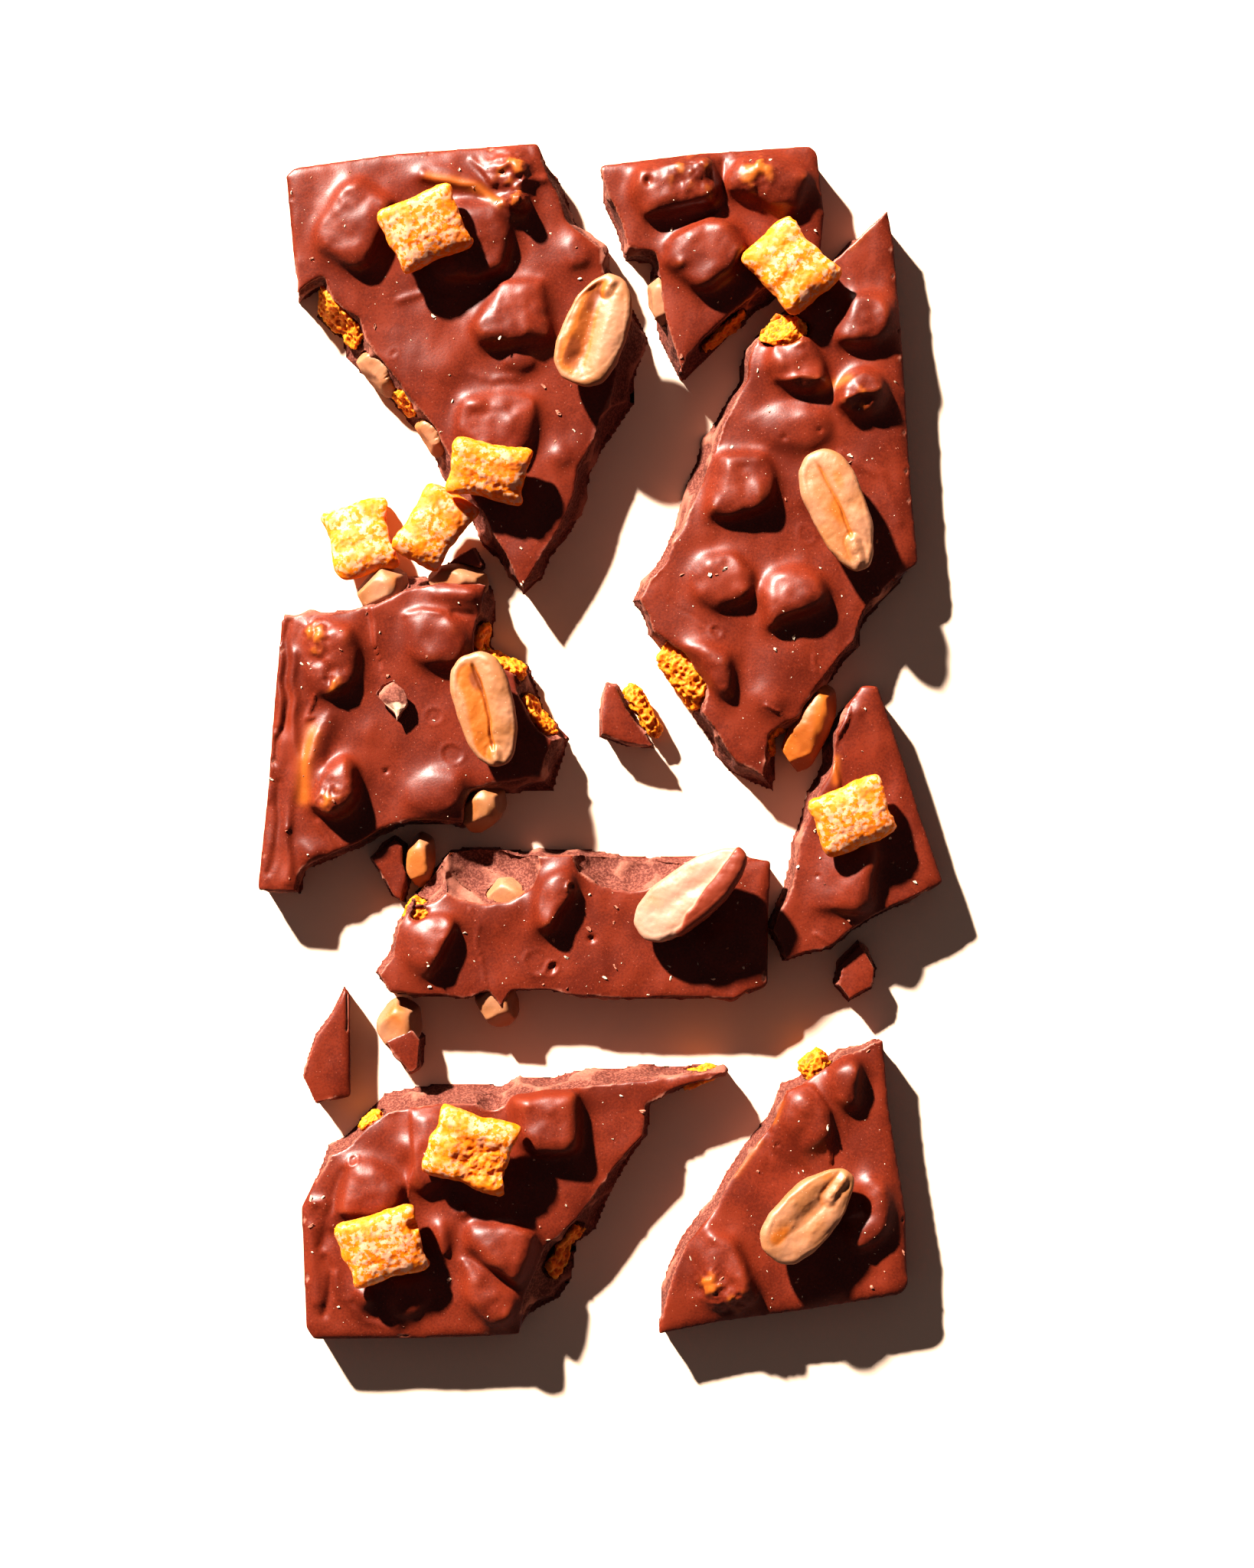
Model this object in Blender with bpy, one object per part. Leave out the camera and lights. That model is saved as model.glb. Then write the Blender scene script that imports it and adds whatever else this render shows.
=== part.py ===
"""A milk chocolate bar with peanuts and corn cereal squares, broken into eight shards.

The shards still lie in the outline of the bar. Lengths are in millimetres and turned into
metres where a mesh is finished. X runs across the bar, Y along it and Z up from the table.
The origin is the middle of the bar on the table.
"""
import math
import random

import bmesh
import bpy
from mathutils import Matrix, Vector
from mathutils.bvhtree import BVHTree

MM = 0.001

# The cast slab
SLAB = 7.0             # thickness of the bar between its lumps
RIM = 0.5              # rounding where a moulded side meets the top
DRAFT = 0.6            # how far the foot of a moulded side stands in under its rim
BREAK_STEP = 4.6       # longest straight stretch along a broken side
BREAK_JAG = 0.35       # how far a broken side jumps in and out between its corners
BREAK_WAIST = 0.45     # share of a broken side's spread that is left half way up
LUMP_SUNK = 0.8        # how far a lump's foot reaches down into the slab
LUMP_SKIRT = 0.9       # how far its foot stands out past its shoulder
LUMP_SHOULDER = 0.72   # height of the shoulder as a share of the rise
LUMP_CREST = 0.78      # size of the crest as a share of the shoulder's outline
LUMP_CAP = 0.15        # how far the middle of the crest is raised

# What lies on the chocolate or shows in its broken sides
GAP = 0.3              # clearance between neighbouring solids
DROP_FROM = 20.0       # height at which a topping is made before it is lowered
CEREAL_THICK = 4.6
CEREAL_RIDGE = 0.5     # height of the ridges pressed into a cereal square
NUT_THICK = 6.2        # a peanut half over its rounded back
NUT_FACE = 0.9         # how far a peanut's inner face swells past its rim
NUT_GROOVE = 0.8       # depth of the slit along a peanut's inner face

# Material colours
CHOCOLATE = (0.16, 0.045, 0.022)
CEREAL = (0.86, 0.42, 0.06)
PEANUT = (0.80, 0.45, 0.18)


# Outlines of the slab pieces, read clockwise
def moulded(*points):
    """A side cast against the mould: smooth, with its foot drawn in."""
    return [(x, y, -DRAFT, False) for x, y in points]


def broken(spread, *points):
    """A snapped side: jagged, with its foot standing out past the top edge by the spread."""
    return [(x, y, spread, True) for x, y in points]


SHARD_OUTLINES = {
    "shard_top_left":
        moulded((-46.2, 73.0), (-47.3, 85.0), (-46.0, 86.3), (-31.0, 88.4), (-9.4, 90.0))
        + broken(1.2, (-7.5, 85.2), (-4.8, 78.3), (0.2, 74.4), (1.3, 69.0))
        + broken(3.2, (4.2, 61.0), (2.1, 52.4))
        + broken(1.4, (-2.9, 41.0), (-4.6, 34.4), (-9.8, 25.7))
        + broken(0.4, (-11.8, 22.6))
        + broken(2.2, (-16.2, 30.9), (-19.7, 36.7), (-24.9, 46.8), (-28.7, 51.3))
        + broken(3.4, (-33.9, 58.0), (-36.5, 63.3), (-40.5, 66.4))
        + broken(0.6, (-41.8, 69.6), (-45.7, 67.0)),
    "shard_top_middle":
        moulded((-0.2, 86.6), (13.1, 88.3), (31.4, 89.6), (32.6, 88.7), (33.7, 79.3), (33.1, 73.0))
        + broken(1.8, (24.7, 67.7), (20.7, 64.6), (13.4, 57.9))
        + broken(0.4, (12.2, 54.8))
        + broken(1.4, (10.3, 61.0), (8.9, 68.6))
        + broken(0.9, (8.2, 73.2), (4.1, 73.8), (1.2, 81.7)),
    "shard_right":
        moulded((43.2, 80.0), (44.2, 74.7), (45.6, 57.9), (46.8, 38.0), (47.9, 26.8))
        + broken(1.2, (44.6, 24.7), (39.9, 19.7), (38.4, 15.1), (34.4, 10.2))
        + broken(1.2, (31.6, 6.7), (29.7, 3.2), (25.6, 1.0))
        + broken(2.6, (24.7, -5.6))
        + broken(1.4, (20.3, -3.4), (17.4, 1.2), (15.0, 4.3))
        + broken(0.6, (16.2, 7.9), (12.4, 13.1), (7.7, 16.3))
        + broken(1.0, (5.6, 21.4), (9.6, 27.0), (12.4, 32.8))
        + broken(2.2, (14.9, 38.3), (17.3, 44.8))
        + broken(0.8, (21.8, 54.8), (22.5, 59.4), (27.7, 64.3), (37.5, 74.7)),
    "shard_left":
        moulded((-51.6, -22.4), (-50.0, -7.0), (-49.2, 4.0), (-47.9, 18.6))
        + broken(0.5, (-39.9, 19.6), (-34.2, 20.8))
        + broken(2.8, (-29.6, 23.0))
        + broken(0.7, (-23.7, 24.2), (-17.0, 23.6))
        + broken(2.4, (-18.4, 17.9), (-18.8, 13.5), (-12.7, 10.3), (-10.7, 4.0), (-6.9, 0.2))
        + broken(3.2, (-9.2, -5.2))
        + broken(0.6, (-19.4, -7.6), (-20.4, -12.6), (-29.4, -12.1), (-36.5, -15.6))
        + broken(0.4, (-45.0, -19.2), (-45.6, -22.9)),
    "shard_centre":
        broken(0.6, (-30.4, -27.4), (-27.0, -22.0), (-22.6, -16.6), (-14.5, -16.6), (-8.0, -16.8))
        + broken(0.6, (-3.6, -16.6), (4.0, -17.8), (12.0, -17.8), (21.8, -17.7))
        + moulded((25.7, -17.9), (25.3, -26.6), (25.2, -36.6), (24.6, -37.2))
        + broken(0.4, (20.3, -39.0), (10.4, -38.8), (0.0, -38.6), (-9.8, -37.6), (-13.2, -37.6))
        + broken(0.4, (-14.9, -40.0), (-17.0, -37.8), (-20.4, -38.9), (-31.8, -38.0))
        + broken(1.0, (-33.5, -35.0), (-31.2, -32.0)),
    "shard_right_corner":
        moulded((39.3, 8.5), (41.7, 8.4), (45.2, -1.7), (48.0, -10.8), (51.6, -21.2))
        + broken(0.6, (47.0, -23.8), (40.8, -26.6), (34.8, -31.2), (27.8, -33.1))
        + broken(0.8, (25.6, -28.2), (28.5, -21.9), (29.7, -15.3))
        + broken(1.2, (32.3, -8.0), (34.7, -3.2), (35.0, 1.4)),
    "shard_bottom_left":
        broken(1.2, (-40.6, -62.0), (-38.0, -60.6))
        + broken(2.3, (-32.0, -55.4), (-24.2, -54.1), (-17.3, -54.2))
        + broken(2.0, (-12.0, -52.6), (-3.2, -51.7), (7.2, -50.6))
        + broken(0.8, (13.0, -49.8))
        + broken(0.2, (19.4, -49.4))
        + broken(0.6, (12.7, -52.1), (7.2, -54.7), (6.8, -59.4))
        + broken(1.8, (1.4, -65.3))
        + broken(3.4, (-3.2, -71.9))
        + broken(5.0, (-8.0, -76.1), (-11.0, -83.0))
        + moulded((-12.2, -89.2), (-21.5, -89.7), (-43.1, -90.0), (-44.3, -88.2), (-45.0, -70.0)),
    "shard_bottom_right":
        moulded((42.5, -44.6), (43.5, -55.5), (45.9, -70.3), (46.3, -81.8), (45.3, -83.2),
                (31.3, -85.5), (18.0, -87.3), (8.6, -89.2))
        + broken(0.6, (9.6, -83.6), (12.7, -75.4), (17.4, -69.5), (21.7, -62.2), (25.6, -57.3))
        + broken(0.6, (27.6, -52.2), (32.2, -49.8), (36.2, -47.0)),
}

# Lumps where nuts and cereal swell the top. Each is the line of its shoulder, read clockwise:
# x, y and the rise of the crest above the slab there
LUMPS = {
    "shard_top_left": [
        ((-36.9, 84.2, 2.4), (-31.0, 80.9, 2.8), (-32.5, 76.0, 3.2), (-34.9, 71.4, 3.2),
         (-37.0, 70.6, 2.8), (-42.4, 74.2, 2.2), (-42.7, 76.5, 2.0), (-39.6, 83.0, 2.2)),
        ((-21.5, 81.2, 2.6), (-15.2, 80.4, 2.6), (-13.6, 76.5, 3.0), (-14.6, 71.0, 3.0),
         (-17.0, 69.6, 3.0), (-24.8, 69.6, 2.8), (-25.0, 78.0, 2.2)),
        ((-14.8, 68.8, 2.4), (-8.6, 69.0, 2.0), (-7.8, 65.0, 2.2), (-7.6, 60.6, 3.0),
         (-12.0, 59.4, 3.4), (-18.0, 59.8, 3.4), (-19.2, 62.6, 3.0), (-17.4, 65.2, 2.6)),
        ((-20.8, 51.0, 1.8), (-14.0, 52.2, 1.8), (-9.8, 51.0, 2.0), (-10.0, 46.0, 2.4),
         (-12.2, 42.2, 2.6), (-18.0, 42.9, 2.6), (-21.6, 46.6, 2.2)),
        ((-18.2, 87.0, 1.4), (-13.8, 87.7, 2.2), (-10.8, 86.6, 2.2), (-10.6, 83.2, 2.0),
         (-15.4, 82.8, 1.8)),
        ((-14.6, 81.8, 4.2), (-11.6, 82.0, 4.6), (-11.2, 79.4, 4.4), (-13.8, 79.0, 4.2)),
        ((-28.6, 85.8, 1.0), (-24.0, 86.4, 1.4), (-19.6, 85.2, 1.4), (-16.2, 83.4, 1.2),
         (-16.8, 81.8, 1.0), (-20.5, 82.6, 1.2), (-24.0, 83.8, 1.2), (-28.0, 84.0, 1.0)),
        ((-14.4, 58.6, 1.0), (-10.4, 58.6, 1.2), (-9.8, 56.4, 1.4), (-12.0, 55.4, 1.5),
         (-14.8, 56.2, 1.4)),
        ((-6.0, 74.6, 0.8), (-3.8, 76.4, 1.0), (-1.4, 74.2, 1.0), (-1.4, 71.8, 1.2),
         (-4.6, 71.4, 1.2)),
        ((-7.6, 44.2, 0.8), (-4.8, 44.8, 0.9), (-4.2, 42.4, 1.0), (-6.2, 40.8, 1.0),
         (-8.0, 42.2, 0.8)),
    ],
    "shard_top_middle": [
        ((5.2, 85.8, 3.0), (10.0, 86.5, 3.4), (16.4, 87.2, 4.2), (17.4, 84.0, 3.8),
         (17.6, 80.8, 3.6), (12.0, 79.6, 3.6), (6.8, 78.6, 3.2), (4.6, 82.0, 2.8)),
        ((19.0, 84.6, 2.8), (21.2, 87.0, 3.6), (26.0, 87.4, 3.4), (31.0, 85.4, 3.0),
         (30.6, 82.4, 2.8), (29.3, 79.4, 2.8), (26.4, 79.4, 3.0), (22.8, 81.4, 3.4),
         (19.4, 82.4, 3.2)),
        ((9.8, 72.4, 3.0), (11.0, 75.4, 3.2), (17.2, 78.2, 3.4), (20.0, 77.2, 3.8),
         (21.6, 73.8, 4.2), (19.4, 70.2, 4.2), (16.0, 67.2, 3.8), (14.2, 67.8, 3.4)),
    ],
    "shard_right": [
        ((38.2, 67.2, 2.4), (42.0, 67.2, 2.4), (43.4, 65.5, 2.6), (43.6, 62.0, 3.0),
         (41.0, 59.5, 3.2), (35.4, 59.6, 3.0), (34.8, 61.2, 2.6)),
        ((25.8, 61.0, 2.4), (29.3, 62.8, 2.4), (31.4, 60.6, 2.8), (33.4, 56.6, 3.2),
         (34.0, 53.4, 3.4), (31.0, 52.2, 3.4), (27.4, 53.4, 3.2), (24.8, 56.6, 2.8)),
        ((35.4, 50.6, 3.6), (36.4, 53.6, 3.8), (39.0, 55.6, 3.6), (42.0, 54.4, 3.6),
         (42.8, 52.4, 3.6), (41.4, 49.6, 3.4), (38.0, 48.6, 3.2)),
        ((22.0, 48.4, 1.0), (27.0, 50.4, 1.3), (33.0, 49.6, 1.6), (34.8, 46.4, 1.6),
         (31.0, 43.8, 1.5), (24.8, 44.4, 1.2)),
        ((17.6, 43.0, 2.4), (24.6, 43.2, 2.6), (25.8, 40.0, 3.0), (25.4, 35.2, 3.4),
         (20.2, 33.8, 3.4), (16.0, 33.8, 3.0), (16.6, 38.0, 2.6)),
        ((13.6, 25.0, 1.8), (15.4, 27.8, 2.0), (20.0, 28.2, 2.4), (22.8, 25.4, 2.8),
         (22.2, 21.6, 3.0), (17.6, 20.2, 2.8), (14.2, 21.8, 2.2)),
        ((23.6, 22.4, 2.6), (25.2, 25.4, 2.6), (29.0, 26.4, 2.8), (32.6, 24.8, 3.2),
         (34.2, 21.8, 3.6), (33.0, 20.4, 3.8), (29.0, 18.8, 3.8), (25.2, 16.6, 3.6)),
        ((12.0, 15.0, 1.8), (15.0, 15.6, 2.2), (19.6, 13.2, 2.8), (20.2, 9.4, 3.0),
         (19.6, 6.8, 3.0), (18.0, 6.6, 2.6), (15.6, 11.6, 2.0)),
        ((22.4, 7.2, 0.8), (25.4, 8.8, 1.0), (27.8, 6.8, 1.1), (26.6, 4.4, 1.2),
         (23.4, 4.6, 1.1)),
    ],
    "shard_left": [
        ((-44.0, 17.2, 1.6), (-40.0, 17.8, 2.2), (-37.2, 17.2, 2.8), (-36.4, 13.6, 2.8),
         (-37.0, 9.0, 2.6), (-38.8, 6.8, 2.2), (-42.6, 6.8, 1.8), (-43.8, 9.5, 1.6)),
        ((-29.4, 18.8, 1.4), (-24.0, 19.4, 1.6), (-20.6, 17.2, 1.8), (-20.2, 14.2, 2.0),
         (-21.8, 11.8, 2.0), (-25.5, 11.2, 2.0), (-28.4, 13.0, 1.6)),
        ((-26.2, 22.6, 1.0), (-22.0, 22.9, 1.4), (-18.6, 22.2, 1.6), (-18.4, 20.6, 1.3),
         (-21.6, 20.4, 1.0), (-26.0, 21.0, 0.8)),
        ((-43.2, 0.6, 2.0), (-40.8, 4.4, 1.2), (-39.4, 3.8, 0.8), (-40.4, 1.0, 1.0),
         (-41.6, -2.6, 1.2), (-42.2, -6.4, 1.4), (-44.0, -7.0, 1.6), (-44.2, -3.6, 2.0)),
        ((-38.2, -2.2, 3.4), (-36.9, -4.0, 4.0), (-36.8, -7.2, 4.5), (-37.6, -9.8, 4.4),
         (-40.6, -11.2, 4.0), (-43.6, -9.0, 3.4), (-41.6, -5.2, 3.2)),
        ((-29.4, -6.6, 0.9), (-24.6, -4.2, 1.2), (-20.0, -4.8, 1.5), (-20.4, -7.4, 1.8),
         (-21.8, -10.4, 1.6), (-26.0, -10.8, 1.4), (-29.2, -9.6, 1.0)),
    ],
    "shard_centre": [
        ((-29.2, -28.6, 1.6), (-26.5, -26.6, 2.0), (-23.0, -26.2, 2.6), (-21.6, -27.0, 3.0),
         (-22.8, -30.0, 3.4), (-24.2, -33.0, 3.6), (-26.2, -35.2, 3.0), (-29.2, -33.2, 2.0)),
        ((-9.8, -23.0, 2.2), (-8.6, -20.4, 2.4), (-5.8, -19.0, 2.6), (-4.2, -20.2, 2.8),
         (-4.4, -22.8, 3.2), (-6.0, -25.6, 3.6), (-7.2, -28.4, 3.6), (-9.6, -28.2, 3.0)),
        ((15.0, -30.0, 0.8), (18.6, -27.0, 1.0), (23.0, -28.4, 1.2), (23.2, -32.4, 1.3),
         (19.6, -34.4, 1.3), (15.6, -33.0, 1.0)),
    ],
    "shard_right_corner": [
        ((31.4, -22.0, 1.0), (35.0, -16.0, 1.6), (39.0, -14.4, 2.4), (41.4, -15.6, 3.0),
         (41.2, -20.0, 3.2), (40.6, -24.8, 3.2), (39.0, -25.8, 3.0), (35.6, -25.6, 2.4),
         (31.8, -25.4, 1.4)),
    ],
    "shard_bottom_left": [
        ((-13.0, -53.6, 3.4), (-8.4, -53.0, 3.8), (-3.4, -52.8, 3.8), (-3.2, -57.0, 4.0),
         (-3.4, -61.6, 4.0), (-9.6, -62.2, 4.0), (-12.0, -60.0, 3.8)),
        ((-38.0, -62.8, 2.2), (-34.0, -62.8, 2.4), (-29.2, -66.6, 3.0), (-30.0, -70.0, 3.2),
         (-34.0, -71.6, 3.0), (-39.2, -71.0, 2.6)),
        ((-27.8, -56.0, 1.6), (-24.0, -55.8, 1.8), (-22.0, -60.0, 2.2), (-23.0, -66.0, 2.6),
         (-26.6, -67.6, 2.6), (-28.4, -65.8, 2.4)),
        ((-19.8, -72.2, 2.8), (-13.0, -72.2, 3.0), (-9.6, -74.0, 3.2), (-10.0, -77.0, 3.4),
         (-12.4, -81.6, 3.6), (-15.6, -79.0, 3.6), (-20.2, -75.6, 3.2)),
        ((-25.2, -71.8, 1.2), (-23.4, -71.6, 1.4), (-22.8, -76.4, 1.8), (-23.8, -77.4, 1.8)),
        ((-21.2, -77.2, 1.6), (-17.4, -79.4, 1.8), (-12.8, -84.0, 2.2), (-13.2, -87.2, 2.4),
         (-16.0, -87.6, 2.4), (-19.8, -84.0, 2.2)),
        ((-37.2, -81.8, 1.4), (-34.8, -81.4, 1.8), (-34.0, -83.8, 2.0), (-35.8, -85.4, 1.6)),
        ((-31.6, -81.0, 1.2), (-26.6, -80.6, 1.4), (-25.4, -83.6, 1.6), (-28.0, -86.4, 1.5),
         (-31.2, -86.0, 1.4)),
    ],
    "shard_bottom_right": [
        ((33.2, -52.2, 1.4), (34.8, -49.4, 2.2), (37.8, -47.6, 3.4), (38.8, -48.6, 3.8),
         (38.4, -51.6, 3.6), (38.6, -55.0, 3.0), (36.4, -55.4, 2.4)),
        ((27.4, -57.4, 1.8), (28.6, -53.6, 2.2), (30.0, -52.2, 2.4), (32.0, -52.8, 2.6),
         (33.8, -55.2, 2.8), (34.4, -58.4, 2.8), (33.8, -60.6, 2.2), (30.0, -62.0, 1.4)),
        ((38.2, -66.6, 1.4), (40.4, -64.8, 1.8), (42.6, -66.6, 2.4), (43.6, -70.2, 2.8),
         (42.8, -74.2, 3.0), (40.6, -73.6, 2.8), (40.6, -70.0, 2.4)),
        ((36.2, -72.4, 1.8), (38.0, -71.0, 2.0), (41.6, -71.6, 2.6), (42.0, -74.8, 3.0),
         (39.0, -76.2, 3.0), (36.8, -75.2, 2.4)),
        ((14.2, -76.4, 1.4), (16.4, -73.6, 2.0), (19.6, -74.4, 2.6), (21.4, -77.6, 3.2),
         (22.8, -80.8, 3.4), (23.6, -83.4, 3.2), (19.8, -84.4, 3.0), (15.8, -84.2, 2.6)),
        ((29.4, -82.6, 0.7), (33.0, -81.0, 1.0), (37.0, -81.6, 1.0), (36.6, -83.0, 0.9),
         (31.0, -83.8, 0.8)),
    ],
}

# Shell-shaped hollows where a flake has sprung off a broken side:
# x, y, length, width, turn in degrees, and depth below the top
SCOOPS = {
    "shard_centre": [
        (-17.4, -18.4, 17.6, 12.6, -3, 4.6),
        (-25.6, -20.8, 9.6, 6.6, 48, 3.0),
        (4.4, -16.4, 18.4, 13.0, 0, 4.2),
    ],
    "shard_bottom_left": [
        (-16.4, -51.2, 7.4, 9.2, 0, 3.4),
    ],
}

# Pieces that show in the broken sides: kind, x, y, z of the middle, length, width, height,
# turn in degrees, and whether the break ran through the piece (True) or round it (False)
INCLUSIONS = {
    "shard_top_left": [
        ("cereal", -40.3, 63.8, 3.6, 11.0, 6.6, 5.6, -54, True),
        ("nut", -33.9, 55.2, 3.5, 8.0, 4.4, 4.8, -60, True),
        ("cereal", -29.8, 51.0, 3.5, 4.8, 4.4, 4.6, -58, True),
        ("nut", -26.2, 45.8, 3.5, 6.4, 3.8, 4.4, -60, True),
    ],
    "shard_top_middle": [
        ("nut", 9.2, 66.6, 3.5, 7.0, 3.0, 4.6, -82, True),
        ("cereal", 19.9, 60.9, 3.4, 9.6, 5.2, 5.2, 44, True),
    ],
    "shard_right": [
        ("cereal", 27.4, 61.6, 7.4, 7.0, 5.4, 4.4, -24, False),
        ("cereal", 13.2, 10.2, 3.6, 11.6, 6.0, 5.4, -55, False),
        ("cereal", 27.0, 0.0, 3.6, 5.6, 4.6, 4.6, -40, True),
        ("nut", 31.6, 2.2, 3.4, 14.8, 4.4, 5.2, 66, False),
    ],
    "shard_left": [
        ("nut", -32.9, 23.0, 3.9, 7.4, 4.6, 5.0, 36, False),
        ("nut", -21.7, 24.2, 4.0, 9.0, 3.4, 5.0, -3, False),
        ("cereal", -15.4, 13.2, 3.6, 10.6, 5.8, 5.4, -44, True),
        ("cereal", -8.6, 4.6, 3.5, 7.6, 5.0, 5.0, -58, True),
        ("nut", -17.9, -9.9, 3.8, 7.4, 4.6, 5.0, 44, False),
    ],
    "shard_centre": [
        ("cereal", -26.9, -26.2, 4.6, 5.4, 4.4, 4.4, -30, False),
        ("nut", -13.6, -23.4, 3.6, 6.8, 4.0, 4.6, -8, False),
        ("nut", -15.6, -39.4, 3.4, 6.2, 4.8, 4.8, -64, False),
    ],
    "shard_bottom_left": [
        ("cereal", -34.6, -57.2, 3.6, 5.4, 3.8, 4.6, -36, True),
        ("cereal", -4.4, -77.4, 3.5, 9.2, 5.0, 5.2, 56, True),
        ("cereal", 15.2, -50.9, 3.6, 5.6, 3.6, 4.6, 14, True),
    ],
    "shard_bottom_right": [
        ("cereal", 32.4, -48.8, 4.0, 4.4, 3.8, 4.6, 40, False),
    ],
}

# Small broken bits of slab inside the bar's outline: thickness and outline
CHIPS = {
    "chip_left_sliver": (
        5.0,
        moulded((-37.8, -38.0), (-37.7, -53.6))
        + broken(0.4, (-43.1, -54.7), (-45.0, -50.6), (-43.1, -44.6), (-38.7, -37.2))),
    "chip_middle": (
        5.4,
        broken(0.4, (1.0, 8.9), (2.4, 8.6), (8.1, -0.9), (4.0, -0.4), (0.0, 1.0), (0.5, 7.2))),
    "chip_under_left": (
        4.6,
        broken(0.4, (-34.9, -17.6), (-31.2, -14.4), (-29.6, -15.6), (-28.9, -20.4), (-29.9, -24.4),
               (-31.6, -23.2))),
    "chip_nut_cap": (
        6.4,
        broken(0.4, (-32.5, -45.1), (-28.4, -43.2), (-26.9, -44.8), (-27.3, -49.2), (-28.7, -50.0))),
    "chip_right": (
        4.4,
        broken(0.5, (39.2, -30.4), (41.6, -34.4), (41.0, -37.2), (37.6, -39.2), (35.6, -36.6),
               (36.4, -33.4))),
    "chip_upper_left": (
        4.8,
        broken(0.4, (-23.4, 26.6), (-19.2, 29.4), (-17.6, 26.6), (-18.2, 26.0))),
}

# Nuts and cereal that lie against those chips: kind, x, y, z, length, width, height, turn
CHIP_CORES = {
    "chip_middle_cereal": ("cereal", 6.4, 4.8, 2.6, 9.6, 2.4, 3.8, -60),
    "chip_nut_cap_nut": ("nut", -30.4, -42.8, 3.2, 7.2, 5.2, 5.0, 76),
    "chip_under_left_nut": ("nut", -27.2, -17.8, 2.8, 7.6, 2.6, 4.2, 84),
}

# Cereal squares on top: x, y, length along the ridges, width, turn, tilt along and across
CEREAL_TOPPINGS = [
    ("cereal_top_left", -25.9, 76.5, 11.3, 9.3, 21, -4, 8),
    ("cereal_top_middle", 28.7, 71.2, 9.8, 11.8, 42, 3, -8),
    ("cereal_upper_left", -16.6, 40.3, 11.6, 8.0, -12, 0, 16),
    ("cereal_left_a", -24.9, 32.3, 8.2, 11.0, -32, 4, -6),
    ("cereal_left_b", -36.0, 30.8, 9.2, 11.0, 15, 2, -20),
    ("cereal_right", 37.8, -11.2, 11.3, 8.6, 24, 3, 5),
    ("cereal_bottom_a", -19.0, -60.9, 12.3, 10.0, -18, -3, 6),
    ("cereal_bottom_b", -32.3, -75.2, 11.6, 9.3, 15, 3, 6),
]

# Peanut halves on top, inner face up: x, y, length, width, turn, tilt along and across
NUT_TOPPINGS = [
    ("peanut_top_left", -0.8, 61.2, 17.5, 9.6, 68, 0, -6),
    ("peanut_right", 35.5, 34.2, 19.5, 8.3, -68, -3, 5),
    ("peanut_left", -17.1, 4.6, 17.8, 8.6, -75, 0, 6),
    ("peanut_centre", 13.3, -22.5, 20.5, 8.0, 38, -14, -12),
    ("peanut_bottom", 31.2, -70.4, 17.5, 8.6, 47, 3, 6),
]

# A crumb of chocolate that lies on the left shard: x, y, length, width, height, turn
LOOSE_CHIP = (-30.9, 6.4, 5.8, 4.0, 2.4, -52)


def clear_scene():
    for old in list(bpy.data.objects):
        bpy.data.objects.remove(old)


def make_material(name, colour, roughness):
    material = bpy.data.materials.new(name)
    material.use_nodes = True
    shader = material.node_tree.nodes["Principled BSDF"]
    shader.inputs["Base Color"].default_value = (*colour, 1.0)
    shader.inputs["Roughness"].default_value = roughness
    shader.inputs["Metallic"].default_value = 0.0
    return material


def new_object(name, bm, collection, material=None):
    """Turn a bmesh in millimetres into an object in metres, with its faces pointing out."""
    bmesh.ops.recalc_face_normals(bm, faces=bm.faces)
    mesh = bpy.data.meshes.new(name)
    bm.to_mesh(mesh)
    bm.free()
    mesh.transform(Matrix.Scale(MM, 4))
    thing = bpy.data.objects.new(name, mesh)
    collection.objects.link(thing)
    if material:
        mesh.materials.append(material)
    return thing


# Slab pieces
def jagged(outline, rng):
    """Split the broken stretches of an outline and let each new point jump in or out."""
    points = []
    for (x0, y0, spread0, snapped0), (x1, y1, spread1, snapped1) in zip(
            outline, outline[1:] + outline[:1]):
        points.append((x0, y0, spread0))
        length = math.hypot(x1 - x0, y1 - y0)
        pieces = math.ceil(length / BREAK_STEP) if snapped0 or snapped1 else 1
        for i in range(1, pieces):
            share = i / pieces
            jump = rng.uniform(-BREAK_JAG, BREAK_JAG)
            x = x0 + share * (x1 - x0) - jump * (y1 - y0) / length
            y = y0 + share * (y1 - y0) + jump * (x1 - x0) / length
            spread = spread0 + share * (spread1 - spread0)
            points.append((x, y, spread * rng.uniform(0.7, 1.15)))
    return points


def outward(points):
    """The direction away from the slab at each point of a clockwise outline."""
    directions = []
    count = len(points)
    for i in range(count):
        before = points[i - 1]
        after = points[(i + 1) % count]
        along = Vector((after[0] - before[0], after[1] - before[1]))
        directions.append(Vector((-along.y, along.x)).normalized())
    return directions


def slab_piece(outline, thickness, rng):
    """Loft a piece of slab from its foot to its top, ring by ring."""
    points = jagged(outline, rng)
    away = outward(points)
    waists = [BREAK_WAIST * rng.uniform(0.6, 1.4) for _ in points]
    levels = [
        (0.0, [spread for _, _, spread in points]),
        (thickness * 0.5, [spread * waist for (_, _, spread), waist in zip(points, waists)]),
        (thickness - RIM, [0.0] * len(points)),
        (thickness, [-RIM if spread < 0 else -0.4 * RIM for _, _, spread in points]),
    ]
    bm = bmesh.new()
    rings = []
    for z, offsets in levels:
        ring = []
        for (x, y, _), direction, offset in zip(points, away, offsets):
            ring.append(bm.verts.new((x + direction.x * offset, y + direction.y * offset, z)))
        rings.append(ring)
    for lower, upper in zip(rings, rings[1:]):
        for i in range(len(points)):
            j = (i + 1) % len(points)
            bm.faces.new((lower[i], lower[j], upper[j], upper[i]))
    bm.faces.new(rings[0])
    bm.faces.new(rings[-1])
    return bm


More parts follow.
